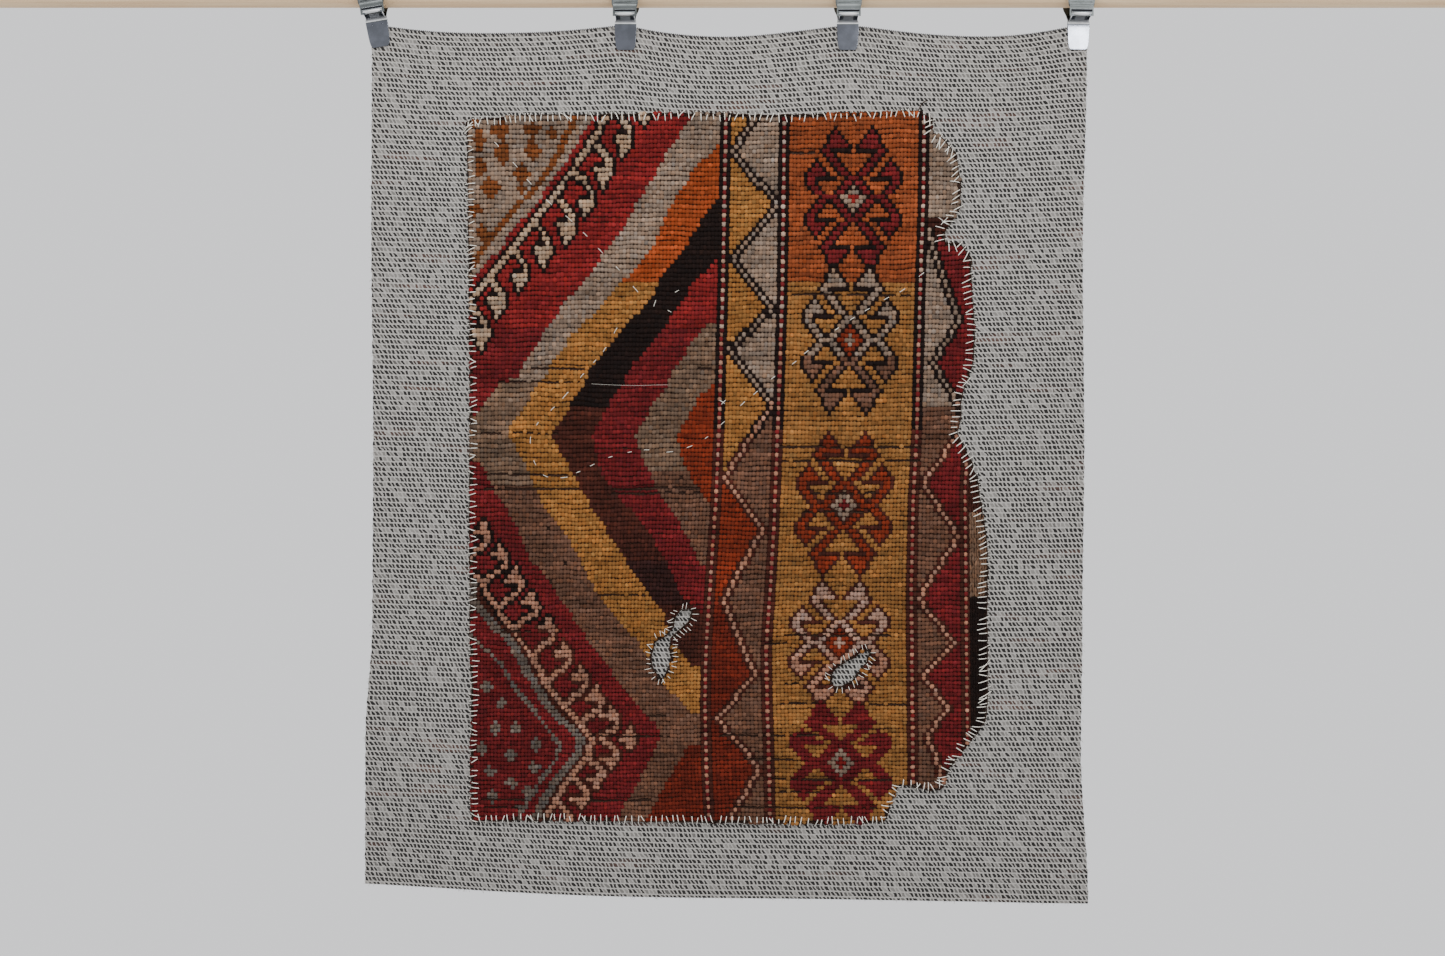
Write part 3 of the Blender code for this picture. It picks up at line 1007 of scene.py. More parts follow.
    def turned(self, profile: Curve, half: float, radius: float) -> Mesh:
        """A round bar along X at the roll's centre.

        Args:
            profile: Share of the length, and share of the radius there.
            half: Half the bar's length.
            radius: Its largest radius.

        Returns:
            Its closed mesh.
        """
        bm = bmesh.new()
        points = [(half * (2 * at - 1), radius * wide) for at, wide in profile]
        points = [(points[0][0], 0.0), *points, (points[-1][0], 0.0)]
        verts = [bm.verts.new((x, 0, z)) for x, z in points]
        edges = [bm.edges.new(pair) for pair in zip(verts, verts[1:])]
        bmesh.ops.spin(bm, geom=verts + edges, axis=(1, 0, 0), cent=(0, 0, 0), steps=20,
                       angle=2 * pi, use_merge=True)
        bmesh.ops.remove_doubles(bm, verts=bm.verts, dist=0.01 * MM)
        bmesh.ops.translate(bm, verts=bm.verts, vec=(0, self.roll_y, self.roll_z))
        return Piece.mesh(bm, "turned bar")

    def tone(self, mesh: Mesh, node: str) -> None:
        """Mark which parts are blued or dull, and where highlight and shade are painted.

        Args:
            mesh: The piece's mesh, before it is lifted to its place.
            node: Which of the clip's pieces it is.
        """
        x, y, z = (Piece.corners(mesh) / MM).T
        if node == "jaw":
            # the jaw's top bend gets a painted highlight band, and the part above it a paler tone
            tone = np.interp(z, (-31.6, -31.0, -30.4, -29.9), (0.0, 1.0, 1.0, 0.62))
            # painted shade in the notches beside the roll
            tone = np.where((np.abs(x) > 8.3) & (z > -28.6) & (y < -6.5), -0.4, tone)
        elif node == "lever":
            off = np.hypot(y - self.roll_y / MM, z - self.roll_z / MM)
            # the lever's foot: painted shadow in the groove under the plate's end, then a painted
            # highlight on the ridge
            plate = np.interp(z, (-22.8, -22.4, -20.6, -20.2, -19.4, -19.1),
                              (0.45, -1.0, -1.0, 1.0, 1.0, 0.45))
            # the whole roll gets the painted highlight
            tone = np.where(off < self.roll_radius / MM + 0.05, 1.0, plate)
        else:
            tone = np.where(z < -30, 0.1, 0.45)
        Piece.mark(mesh, "tone", 'FLOAT', tone)

    def build(self, steel: Material) -> list[Object]:
        """Make the clip's three pieces.

        Args:
            steel: Their finish.

        Returns:
            The strap, the front jaw and the lever.
        """
        pieces = []
        for name, node, mesh in (("strap", "hook", self.strap_mesh()),
                                 ("front_jaw", "jaw", self.jaw_mesh()),
                                 ("handle", "lever", self.lever_mesh())):
            self.tone(mesh, node)
            mesh.transform(self.lift())
            piece = Piece.add(f"clip_{self.number}_{name}", mesh, steel, "clip_steel")
            piece.modifiers.new("even shine", 'WEIGHTED_NORMAL').keep_sharp = True
            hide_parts(f"clip_{self.number}_{node}")
            pieces.append(piece)
        return pieces


@dataclass(frozen=True)
class BackingCloth:
    """The ribbed cloth that carries the rug, with its overcast and frayed edges."""

    columns: int = 40
    ribs: int = 168
    rows_in_rib: int = 4
    thick: float = 1.2 * MM
    rib_high: float = 0.12 * MM
    ragged_by: float = 0.5 * MM
    ragged_reach: float = 4 * MM
    overcast_every: float = 2.1 * MM
    overcast_slant: float = 1.1 * MM
    overcast_proud: float = 0.85 * MM
    overcast_radius: float = 0.45 * MM
    fibre_radius: float = 0.16 * MM
    side_fibres: int = 170
    lower_fibres: int = 150

    def sheet(self) -> Mesh:
        """The draped cloth, with its flat place kept on each vertex.

        Returns:
            Its closed mesh.
        """
        rows = self.ribs * self.rows_in_rib
        bm = bmesh.new()
        bmesh.ops.create_grid(bm, x_segments=self.columns, y_segments=rows, size=0.5)
        mesh = Piece.mesh(bm, "backing", False)
        across, up = (Piece.corners(mesh)[:, :2] + 0.5).astype(float).T
        down = 1 - up
        x, z = Drape.hang(across, down)
        rise = self.rib_high * np.cos(2 * pi * self.ribs * down)
        edge = np.minimum(np.minimum(across, 1 - across) * CLOTH_WIDE, down * CLOTH_LONG)
        ragged = np.sin(down * 431) * np.sin(down * 157 + 1) + 0.6 * np.sin(across * 389)
        pull = self.ragged_by * ragged * np.exp(-(edge / self.ragged_reach) ** 2)
        Piece.move(mesh, laid_on(x + pull * np.sign(across - 0.5), z, rise))
        metres = np.stack([across * CLOTH_WIDE, down * CLOTH_LONG, np.zeros_like(down)], axis=-1)
        Piece.mark(mesh, "flat", 'FLOAT_VECTOR', metres)
        return Piece.settled(mesh, self.thick)

    def top_paths(self, rng: np.random.Generator) -> list[np.ndarray]:
        """Overcasting along the top edge.

        Args:
            rng: Seeded random numbers.

        Returns:
            Points of each stitch.
        """
        paths = []
        for across in np.arange(0.004, 0.996, self.overcast_every / CLOTH_WIDE):
            turn = np.linspace(-0.35 * pi, 1.35 * pi, 7)
            deep = (1.3 + 0.8 * rng.random()) * MM
            at = across + turn / pi * self.overcast_slant / CLOTH_WIDE
            x, z = Drape.hang(at, np.zeros_like(at))
            z = z - deep * (1 - np.sin(turn)) / 2 + 0.5 * MM
            paths.append(laid_on(x, z, self.overcast_proud * np.cos(turn)))
        return paths

    def fray_paths(self, rng: np.random.Generator) -> list[np.ndarray]:
        """Loose fibres at the cut sides and the lower edge.

        Args:
            rng: Seeded random numbers.

        Returns:
            Points of each fibre.
        """
        paths = []
        sides = [(0.0, down, -1.0, 0.0) for down in rng.random(self.side_fibres)]
        sides += [(1.0, down, 1.0, 0.0) for down in rng.random(self.side_fibres)]
        sides += [(across, 1.0, 0.0, -1.0) for across in rng.random(self.lower_fibres)]
        for across, down, out_x, out_z in sides:
            x, z = Drape.hang(np.array([across]), np.array([down]))
            reach = np.linspace(-1.0, 0.8 + 2.2 * rng.random(), 4) * MM
            curl = rng.normal(0, 0.5) * np.linspace(0, 1, 4) ** 2 * 3 * MM
            paths.append(laid_on(x + out_x * reach + out_z * curl,
                                 z + out_z * reach - abs(out_x) * abs(curl),
                                 rng.normal(0, 0.3) * MM * np.ones(4)))
        return paths

    def build(self, weave: Material, overcast: Material,
              clips: Sequence[Object]) -> Object:
        """Make the cloth and its edges.

        Args:
            weave: Finish of the cloth.
            overcast: Finish of the overcasting.
            clips: The jaws and hooks that hold it; not used.

        Returns:
            The cloth.
        """
        rng = np.random.default_rng(SEED)
        cloth = Piece.add("backing_weave_cloth", self.sheet(), weave, "backing_weave", 60)
        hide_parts("backing_cloth")
        mesh = Piece.threads("top_overcast", self.top_paths(rng), self.overcast_radius)
        top = Piece.add("top_overcast", mesh, overcast, "sewing_thread")
        mesh = Piece.threads("side_fray", self.fray_paths(rng), self.fibre_radius)
        fibre = SpunThread("pale fibre", (196, 193, 187), (150, 147, 140)).build()
        fray = Piece.add("side_fray", mesh, fibre, "backing_weave")
        return cloth


class Dye(Enum):
    """The wool's colours, as seen in plain daylight."""

    CRIMSON = (94, 24, 26)
    BRIGHT_RED = (118, 28, 26)
    DARK_RED = (88, 23, 24)
    ORANGE = (141, 62, 28)
    OCHRE = (139, 93, 46)
    GREY_BEIGE = (124, 105, 90)
    BROWN_BEIGE = (94, 65, 50)
    BLACK = (25, 14, 11)
    MAROON = (62, 29, 21)
    RUST = (112, 40, 20)
    RUST_RED = (92, 30, 17)
    ORANGE_BROWN = (98, 54, 26)
    PINK_BEIGE = (146, 104, 84)
    GREY_BROWN = (90, 80, 72)
    CREAM = (156, 130, 112)
    PINK_WHITE = (150, 118, 102)
    SELVAGE_BROWN = (110, 84, 66)
    BORDER_OCHRE = (132, 89, 46)
    BORDER_ORANGE = (128, 63, 33)
    INNER_BEIGE = (100, 79, 63)
    DARK_MAROON = (46, 23, 20)
    UPPER_CRIMSON = (112, 28, 28)
    HOOK_CREAM = (152, 127, 104)

    def light(self) -> Colour:
        """The colour in linear light."""
        return linear(*self.value)


DYES = list(Dye)


class Band(NamedTuple):
    """A band of the field: it fills what lies right of its edge, a row each of down, across."""

    edge: Curve
    dye: Dye
    low_dye: Dye
    turns: float


FIELD_BANDS = (
    Band(((113, 693), (148, 671), (188, 647), (224, 626), (262, 599), (285, 581), (306, 563),
          (344, 538), (361, 524), (378, 519), (384, 501), (409, 482), (420, 466), (454, 466),
          (467, 484), (495, 497), (523, 516), (556, 529), (585, 552), (621, 576), (649, 594),
          (678, 617), (703, 635), (723, 656), (736, 661), (755, 652), (781, 638), (806, 624),
          (832, 612)), Dye.GREY_BEIGE, Dye.BROWN_BEIGE, 487),
    Band(((144, 719), (165, 698), (199, 675), (227, 661), (244, 655), (260, 642), (291, 615),
          (309, 600), (337, 571), (376, 545), (406, 525), (425, 510), (437, 510), (463, 525),
          (483, 533), (505, 544), (530, 563), (548, 575), (571, 586), (591, 597), (618, 617),
          (641, 638), (686, 667), (711, 691), (714, 704)), Dye.ORANGE, Dye.OCHRE, 283),
    Band(((197, 720), (216, 704), (250, 683), (273, 665), (283, 658), (297, 654), (322, 629),
          (355, 601), (367, 593), (390, 582), (409, 569), (428, 554), (436, 552), (463, 568),
          (497, 586), (525, 604), (554, 623), (581, 639), (610, 663), (642, 672), (663, 691),
          (668, 704)), Dye.BLACK, Dye.MAROON, 409),
    Band(((257, 718), (284, 693), (312, 674), (338, 657), (363, 634), (382, 623), (410, 605),
          (436, 592), (473, 601), (490, 613), (509, 630), (530, 647), (552, 661), (571, 671),
          (598, 682), (612, 704)), Dye.CRIMSON, Dye.CRIMSON, 0),
    Band(((324, 709), (348, 689), (370, 674), (389, 665), (418, 645), (436, 634), (462, 645),
          (484, 654), (506, 669), (537, 688), (557, 697), (572, 708)),
         Dye.INNER_BEIGE, Dye.BROWN_BEIGE, 470),
    Band(((384, 715), (397, 699), (416, 689), (438, 677), (462, 684), (483, 694), (504, 710)),
         Dye.RUST, Dye.RUST, 0),
    Band(((743, 691), (759, 679), (786, 664), (807, 653), (832, 640)), Dye.RUST_RED,
         Dye.RUST_RED, 0),
)

# The hooked border across the upper corner: its spine and the brown stripe outside it, as down,
# across. Then as across, down: the tip of each hook, the path of a branch and the corners of a
# barb from the tip, and the flowers outside the border, each with half its width and height
UPPER_SPINE = ((104, 618), (124, 603), (139.5, 592.7), (151, 586.6), (164, 578.6), (175, 569.7),
               (187, 560.8), (196, 555.7), (205, 548), (213.5, 541.6), (226, 529), (238, 521),
               (247, 515), (256, 507), (267, 498), (279, 489), (300, 470))
UPPER_STRIPE = ((104, 582), (119, 574.8), (130.6, 569.7), (142, 564.6), (153.6, 558.2),
                (163.8, 553), (175.3, 545.5), (184, 539), (193, 531.4), (199.5, 523.8),
                (208.4, 514.8), (220, 507.2), (230, 498.3), (241.6, 489.3), (250.5, 481.7),
                (275, 462))
UPPER_HOOKS = ((643, 124), (623.3, 153.6), (602.9, 185.5), (585.6, 216), (566.5, 241.6),
               (542.9, 264.5), (519.3, 290), (496, 317), (481, 348))
UPPER_BRANCH = ((-12, -45), (-7, -39), (-3, -36.5), (2, -29), (5.8, -24), (5.8, -14))
UPPER_BARB = ((-9.5, -18.5), (9.5, -18.5), (8.8, -9), (3.2, -2), (1.6, 3), (-1.6, 3), (-3.2, -6),
              (-7, -12))
UPPER_FLOWERS = ((500.8, 130.6, 9.5, 8), (503.4, 153.6, 7.5, 11), (532.7, 130.6, 9, 7.5),
                 (533, 142, 3, 6), (534, 152, 8.5, 8), (553, 134.4, 5, 7),
                 (522.5, 175.3, 8, 9), (522.5, 188, 6, 5), (490.6, 189.3, 10, 9.5),
                 (474, 120, 8, 9), (480, 143, 6, 12), (481, 168, 6, 10), (474, 209.7, 9, 6),
                 (483, 232.7, 7, 8), (471.5, 262, 8, 7))

# The same border across the lower corner, where it turns and goes back, with the grey line and
# the thin line beside its spine. Its flowers are all of one size
LOWER_SPINE = ((572, 474), (584, 482), (602, 494), (623, 507), (652, 531), (682, 546),
               (710, 568), (723, 579), (738, 592), (755, 588), (773, 572), (793, 560),
               (812, 549), (832, 538))
LOWER_GREY = ((600, 472), (618, 487), (642, 512), (670, 527), (696, 542), (719, 561),
              (738, 580), (749, 580), (773, 561), (796, 545), (806, 541), (832, 526))
LOWER_THIN = ((630, 466), (645, 481), (663, 501), (685, 513), (704, 529), (725, 545),
              (745, 561), (758, 556), (776, 544), (800, 528), (832, 512))
LOWER_HOOKS = ((483, 521), (500, 545), (516, 568), (531, 591), (548, 616), (564, 642),
               (581, 666), (596, 686), (611, 705), (630, 726))
LOWER_BRANCH = ((7, 15), (4.5, 21.5), (-2.7, 27), (-8, 30), (-12, 35), (-15, 38.5))
LOWER_BARB = ((-10.5, 9), (-4, 6.5), (-1.8, -1), (1.8, -1), (5, 6), (9, 12), (9.5, 18), (4.5, 18),
              (1, 13.5), (-10.5, 12.8))
LOWER_FLOWERS = ((487, 686), (502, 703), (496, 729), (516, 727), (483, 748), (512, 754),
                 (536, 744), (490, 771), (534, 767), (512, 781), (493, 797), (529, 791),
                 (522, 808))

# Zigzags of the two guard stripes, as across, down
FIRST_ZIGZAG = ((756, 115), (733, 151), (778, 206), (733, 259), (772, 310), (730, 349),
                (772, 405), (724, 479), (762, 529), (723, 600), (755, 673), (717, 719),
                (759, 768), (738, 807), (722, 832))
SECOND_ZIGZAG = ((929, 235), (959, 320), (933, 364), (955, 400), (968, 424), (951, 444),
                 (923, 483), (958, 536), (918, 598), (955, 644), (921, 676), (949, 708),
                 (926, 736), (939, 765), (945, 790))

# Half of a star of the main border, from its point to its middle row; a letter for each knot
STAR_CHART = (
    ".....k.........",
    "....kmk........",
    "...kmmmk.......",
    "..kmmmmk.......",
    ".kmmmmmmk......",
    ".kkkkkkmmk.....",
    ".....kmmk......",
    "....kmmk..k....",
    "...kmmk..kmk...",
    "..kmmk..kmmmk..",
    ".kmmk..kmmmmmk.",
    "mmk..kkkkkkmmk.",
    "kmmk......kmmk.",
    "gkmmk....kmmk..",
    "ggkmmk..kmmk...",
    "xggkmmkkmmk....",
    "xxggkmmmmk.....",
)


class Star(NamedTuple):
    """A star of the main border: its middle row, its row pitch and its colours."""

    down: float
    pitch: float
    body: Dye
    outline: Dye
    lozenge: Dye
    cross: Dye


STARS = (
    Star(199.5, 4.45, Dye.CRIMSON, Dye.BLACK, Dye.GREY_BEIGE, Dye.BRIGHT_RED),
    Star(342, 4.6, Dye.GREY_BEIGE, Dye.BLACK, Dye.RUST, Dye.GREY_BEIGE),
    Star(504, 4.45, Dye.RUST, Dye.MAROON, Dye.GREY_BEIGE, Dye.CRIMSON),
    Star(644, 4.0, Dye.PINK_WHITE, Dye.MAROON, Dye.RUST, Dye.PINK_WHITE),
    Star(763, 3.85, Dye.CRIMSON, Dye.CRIMSON, Dye.GREY_BEIGE, Dye.BRIGHT_RED),
)

# Columns of the thin lines of red and white knots: at both sides of the first guard stripe,
# outside the main border and outside the second guard stripe
FIELD_LINE, FIRST_LINE, BORDER_LINE, CORD_LINE = THIN_LINES = (70, 86, 124, 138)

# Where the warps run: the column number, and its place at some levels, as down, across
WARP_LINES = {
    0: ((110, 467), (820, 469)),
    FIELD_LINE: ((110, 726), (280, 723), (430, 719), (500, 716), (600, 709), (650, 706),
                 (700, 705), (770, 706.5), (820, 709)),
    FIRST_LINE: ((110, 784.5), (300, 782), (430, 777.5), (520, 774), (590, 770), (650, 766),
                 (700, 767), (770, 769), (820, 770)),
    BORDER_LINE: ((110, 923.5), (200, 923), (300, 919.5), (430, 916.6), (500, 913), (590, 911),
                  (820, 913)),
    CORD_LINE: ((110, 974), (300, 970), (430, 967.5), (490, 965), (725, 967), (820, 967)),
    146: ((110, 994), (490, 985), (725, 987), (820, 987)),
}

# Wefts that show dark where a row of pile is lost: down, from and to across
LOST_ROWS = (
    (365.7, 530, 593), (381, 500, 580), (369, 690, 712), (433, 480, 560), (474, 484, 580),
    (486, 484, 580), (488, 613, 700), (492, 613, 700), (448, 780, 925), (460, 780, 925),
    (493, 815, 880), (508, 800, 870), (593, 597, 647), (631, 500, 530), (633, 775, 895),
    (641, 765, 790), (681, 775, 800), (703, 780, 815), (703, 870, 905), (714, 645, 668),
    (733, 720, 820), (735, 590, 670), (757, 745, 795), (777, 770, 890), (792, 780, 820),
    (797, 590, 650), (797, 480, 525), (805, 735, 880), (808, 480, 525), (150, 790, 815),
    (293, 785, 910),
)

# Moth holes, a knot or two wide, as across, down
MOTH_HOLES = ((547.8, 529.4), (564.6, 562.5), (552.5, 582.0), (682.2, 479.3), (662.0, 683.0))

# A dark end of weft that stands up from the upper edge
WEFT_END = ((916.0, 115.0), (919.0, 109.0), (921.5, 104.5), (926.5, 101.5))


def curve_at(curve: Curve, down: np.ndarray) -> np.ndarray:
    """Across at each level of a curve whose rows are down, across."""
    levels, places = zip(*curve)
    return np.interp(down, levels, places)


def near_path(path: Curve, across: np.ndarray, down: np.ndarray, reach: float) -> np.ndarray:
    """Which places lie near a path.

    Args:
        path: Its points, as across, down.
        across: Places across.
        down: Places down.
        reach: How near counts.

    Returns:
        True where a place is within reach.
    """
    near = np.zeros(across.shape, bool)
    for (ax, ay), (bx, by) in zip(path, path[1:]):
        run_x, run_y = bx - ax, by - ay
        t = ((across - ax) * run_x + (down - ay) * run_y) / (run_x ** 2 + run_y ** 2)
        t = np.clip(t, 0, 1)
        near |= np.hypot(across - ax - t * run_x, down - ay - t * run_y) < reach
    return near


def inside(loop: Curve, across: np.ndarray, down: np.ndarray) -> np.ndarray:
    """Which places lie in a closed loop.

    Args:
        loop: Its corners.
        across: First coordinate of the places.
        down: Second coordinate of the places.

    Returns:
        True where a place is in the loop.
    """
    within = np.zeros(across.shape, bool)
    for (ax, ay), (bx, by) in zip(loop, list(loop[1:]) + [loop[0]]):
        if ay != by:
            crossing = ax + (down - ay) * (bx - ax) / (by - ay)
            within ^= ((ay > down) != (by > down)) & (across < crossing)
    return within


def grown(mask: np.ndarray) -> np.ndarray:
    """A mask and the knots beside it, in each row and column.

    Args:
        mask: True on some knots.

    Returns:
        True on those knots and their neighbours.
    """
    wide = mask.copy()
    wide[1:] |= mask[:-1]
    wide[:-1] |= mask[1:]
    wide[:, 1:] |= mask[:, :-1]
    wide[:, :-1] |= mask[:, 1:]
    return wide


class KnotChart:
    """The rug's pattern, knot by knot: where each knot sits and how it is dyed."""

    TOP, BOTTOM = 110.0, 834.0
    COLUMNS = 147
    BORDER_MIDDLE = 105      # column that the stars stand on
    LOWER_TURN = 737         # level where the lower hooked border turns back
    BARE = 2.4               # half the width of a moth hole
    BAND_GAP = 4.0           # how far hooks stay clear of the field's first band
    SPINE_HALF = 3.2         # half the width of a hooked border's spine
    LOWER_FLOWER = 7.0       # half the width and height of a flower of the lower corner

    def __init__(self, rng: np.random.Generator) -> None:
        """Lay out the knots and dye them.

        Args:
            rng: Seeded random numbers.
        """
        self.rng = rng
        levels = [self.TOP]
        while levels[-1] < self.BOTTOM:
            levels.append(levels[-1] + np.interp(levels[-1], (490, 510, 590, 610),
                                                 (4.6, 4.4, 4.4, 4.0)))
        rows = np.array(levels)
        self.column, self.down = np.meshgrid(np.arange(self.COLUMNS), rows)
        anchors = sorted(WARP_LINES)
        lines = np.stack([curve_at(WARP_LINES[line], rows) for line in anchors], axis=1)
        self.across = np.stack([np.interp(np.arange(self.COLUMNS), anchors, line)
                                for line in lines])
        self.row = np.broadcast_to(np.arange(len(rows))[:, None], self.across.shape)
        self.dye = np.full(self.across.shape, DYES.index(Dye.CRIMSON))
        self.field()
        self.upper_corner()
        self.lower_corner()
        self.first_guard()
        self.main_border()
        self.second_guard()
        self.thin_lines()

    def paint(self, mask: np.ndarray, dye: Dye) -> None:
        """Dye some knots."""
        self.dye[mask] = DYES.index(dye)

    def between(self, left: int, right: int) -> np.ndarray:
        """True on the columns between two others."""
        return (self.column > left) & (self.column < right)

    def before_bands(self) -> np.ndarray:
        """True on the knots that lie clear of the field's bands."""
        return self.across < curve_at(FIELD_BANDS[0].edge, self.down) - self.BAND_GAP

    def flowers(self, ground: np.ndarray, rows: Iterable[Sequence[float]], size: float,
                dye: Dye) -> None:
        """Dye the lozenge flowers of a ground.

        Args:
            ground: True on the knots of the ground.
            rows: Across and down of each flower, with half its width and height.
            size: How large the flowers are drawn, where 1 is as listed.
            dye: Their colour.
        """
        for x, y, wide, high in rows:
            flower = np.abs(self.across - x) / wide + np.abs(self.down - y) / high < size
            self.paint(ground & flower, dye)

    def field(self) -> None:
        """The stepped bands of the field."""
        for band in FIELD_BANDS:
            first, last = band.edge[0][0], band.edge[-1][0]
            held = (self.down >= first) & (self.down <= last)
            held &= self.across > curve_at(band.edge, self.down)
            self.paint(held & (self.down < band.turns), band.dye)
            self.paint(held & (self.down >= band.turns), band.low_dye)
        faded = (self.dye == DYES.index(Dye.GREY_BEIGE)) & (self.down > 384)
        self.paint(faded, Dye.INNER_BEIGE)
        black_again = (self.dye == DYES.index(Dye.MAROON)) & (self.down > 560) & (self.down < 606)
        self.paint(black_again, Dye.DARK_MAROON)

    def hooks(self, tips: Curve, branch: Curve, barb: Curve) -> np.ndarray:
        """Knots of a row of hooks.

        Args:
            tips: Where each hook's barb ends.
            branch: Path of the branch, from the tip.
            barb: Corners of the barb, from the tip.

        Returns:
            True on the hooks.
        """
        mask = np.zeros(self.across.shape, bool)
        for x, y in tips:
            mask |= near_path(branch, self.across - x, self.down - y, 2.5)
            mask |= inside(barb, self.across - x, self.down - y)
        return mask

    def upper_corner(self) -> None:
        """The hooked border and the flowered ground across the upper corner."""
        spine = curve_at(UPPER_SPINE, self.down)
        upper = self.down < 302
        off = self.across - spine
        self.paint((self.down < 330) & (self.dye == DYES.index(Dye.CRIMSON)), Dye.UPPER_CRIMSON)
        self.paint(upper & (off < -7.2), Dye.UPPER_CRIMSON)
        ground = upper & (off < -13.2)
        self.paint(ground, Dye.GREY_BEIGE)
        self.flowers(ground, UPPER_FLOWERS, 1.22, Dye.ORANGE_BROWN)
        stripe = np.abs(self.across - curve_at(UPPER_STRIPE, self.down)) < 3.6
        self.paint(ground & stripe, Dye.ORANGE_BROWN)
        band = self.before_bands()
        light = upper & (np.abs(off) < self.SPINE_HALF)
        hooks = self.hooks(UPPER_HOOKS, UPPER_BRANCH, UPPER_BARB) & (off > -3) & band
        light |= hooks & (self.down < 356)
        self.paint(grown(light) & ~light & (off > -8.5) & band, Dye.BLACK)
        self.paint(light, Dye.HOOK_CREAM)

    def lower_corner(self) -> None:
        """The hooked border and the flowered ground across the lower corner."""
        spine = curve_at(LOWER_SPINE, self.down)
        grey = curve_at(LOWER_GREY, self.down)
        thin = curve_at(LOWER_THIN, self.down)
        lower = self.down > 572
        self.paint(lower & (self.across < spine - 3), Dye.MAROON)
        self.paint(lower & (self.across < grey + 5.5), Dye.GREY_BROWN)
        self.paint(lower & (self.across < grey - 4.5), Dye.CRIMSON)
        self.paint(lower & (self.across < thin + 2.6) & (self.down > 630), Dye.GREY_BROWN)
        ground = (self.down > 630) & (self.across < thin - 2.2)
        self.paint(ground, Dye.DARK_RED)
        rows = [(x, y, self.LOWER_FLOWER, self.LOWER_FLOWER) for x, y in LOWER_FLOWERS]
        self.flowers(ground, rows, 1.0, Dye.GREY_BROWN)
        band = self.before_bands()
        light = lower & (np.abs(self.across - spine) < self.SPINE_HALF)
        hooks = self.hooks(LOWER_HOOKS, LOWER_BRANCH, LOWER_BARB)
        turned = [(x, 2 * self.LOWER_TURN - y) for x, y in LOWER_HOOKS[5:]]
        back = self.hooks(turned, [(x, -y) for x, y in LOWER_BRANCH],
                          [(x, -y) for x, y in LOWER_BARB])
        hooks = np.where(self.down < self.LOWER_TURN, hooks, back)
        hooks &= band & (self.across > spine - 3)
        light |= hooks & (self.down > 518)
        low = (self.down > 510) & band & ((self.across > spine - 7) | (self.down < 572))
        around = grown(light) & ~light & low
        self.paint(around & (self.down < 625), Dye.BLACK)
        self.paint(around & (self.down >= 625), Dye.MAROON)
        self.paint(light, Dye.PINK_BEIGE)

    def zigzag(self, path: Curve, left: int, right: int) -> np.ndarray:
        """Dye a pale zigzag line with its dark outline, and find its left side.

        Args:
            path: Its corners, as across, down.
            left: Column just left of its stripe.
            right: Column just right of its stripe.

        Returns:
            True on the knots left of the line.
        """
        line = np.interp(self.down, [y for _, y in path], [x for x, _ in path])
        stripe = self.between(left, right) & (self.down >= path[0][1] - 6)
        off = np.abs(self.across - line)
        light = stripe & (off < 1.95)
        around = grown(light) & ~light & stripe & (off < 7)
        self.paint(around, Dye.BLACK)
        self.paint(around & (self.down > 440), Dye.MAROON)
        self.paint(light, Dye.GREY_BEIGE)
        self.paint(light & (self.down > 400), Dye.PINK_BEIGE)
        return stripe & (self.across < line) & ~grown(light)

    def first_guard(self) -> None:
        """The stripe between the field and the main border."""
        stripe = self.between(FIELD_LINE, FIRST_LINE)
        self.paint(stripe, Dye.GREY_BEIGE)
        self.paint(stripe & (self.down > 404), Dye.BROWN_BEIGE)
        left = self.zigzag(FIRST_ZIGZAG, FIELD_LINE, FIRST_LINE)
        self.paint(left & (self.down < 483), Dye.OCHRE)
        self.paint(left & (self.down >= 483) & (self.down < 602), Dye.RUST)
        self.paint(left & (self.down >= 602), Dye.RUST_RED)

    def main_border(self) -> None:
        """The wide border with its stars."""
        border = self.between(FIRST_LINE, BORDER_LINE)
        self.paint(border, Dye.BORDER_OCHRE)
        self.paint(border & (self.down < 283), Dye.BORDER_ORANGE)
        across = np.abs(self.column - self.BORDER_MIDDLE)
        for star in STARS:
            down = np.rint(np.abs(self.down - star.down) / star.pitch).astype(int)
            dyes = {"k": star.outline, "m": star.body, "g": star.lozenge, "x": star.cross}
            for step, line in enumerate(reversed(STAR_CHART)):
                for out, letter in enumerate(line):
                    if letter in dyes:
                        self.paint((down == step) & (across == out), dyes[letter])
        faded = border & (self.dye == DYES.index(Dye.GREY_BEIGE))
        self.paint(faded & (self.down > 356) & (self.down < 440), Dye.BROWN_BEIGE)
        faded = border & (self.dye == DYES.index(Dye.PINK_WHITE)) & (self.down < 712)
        self.paint(faded & (self.down > 652), Dye.PINK_BEIGE)

    def second_guard(self) -> None:
        """The stripe outside the main border, and the side cords."""
        outer, cords = self.column > BORDER_LINE, self.column > CORD_LINE
        self.paint(outer, Dye.GREY_BEIGE)
        self.paint(outer & (self.down < 132), Dye.MAROON)
        self.paint(outer & (self.down > 218) & (self.down < 235), Dye.MAROON)
        self.paint(outer & (self.column < CORD_LINE) & (self.down > 235), Dye.CRIMSON)
        left = self.zigzag(SECOND_ZIGZAG, BORDER_LINE, CORD_LINE)
        self.paint(left, Dye.GREY_BEIGE)
        self.paint(left & (self.down > 405), Dye.BROWN_BEIGE)
        self.paint((self.column >= CORD_LINE) & (self.down > 235), Dye.CRIMSON)
        self.paint(cords & (self.down > 405), Dye.MAROON)
        self.paint(cords & (self.down > 510) & (self.down < 597), Dye.SELVAGE_BROWN)
        self.paint(cords & (self.down >= 597), Dye.BLACK)

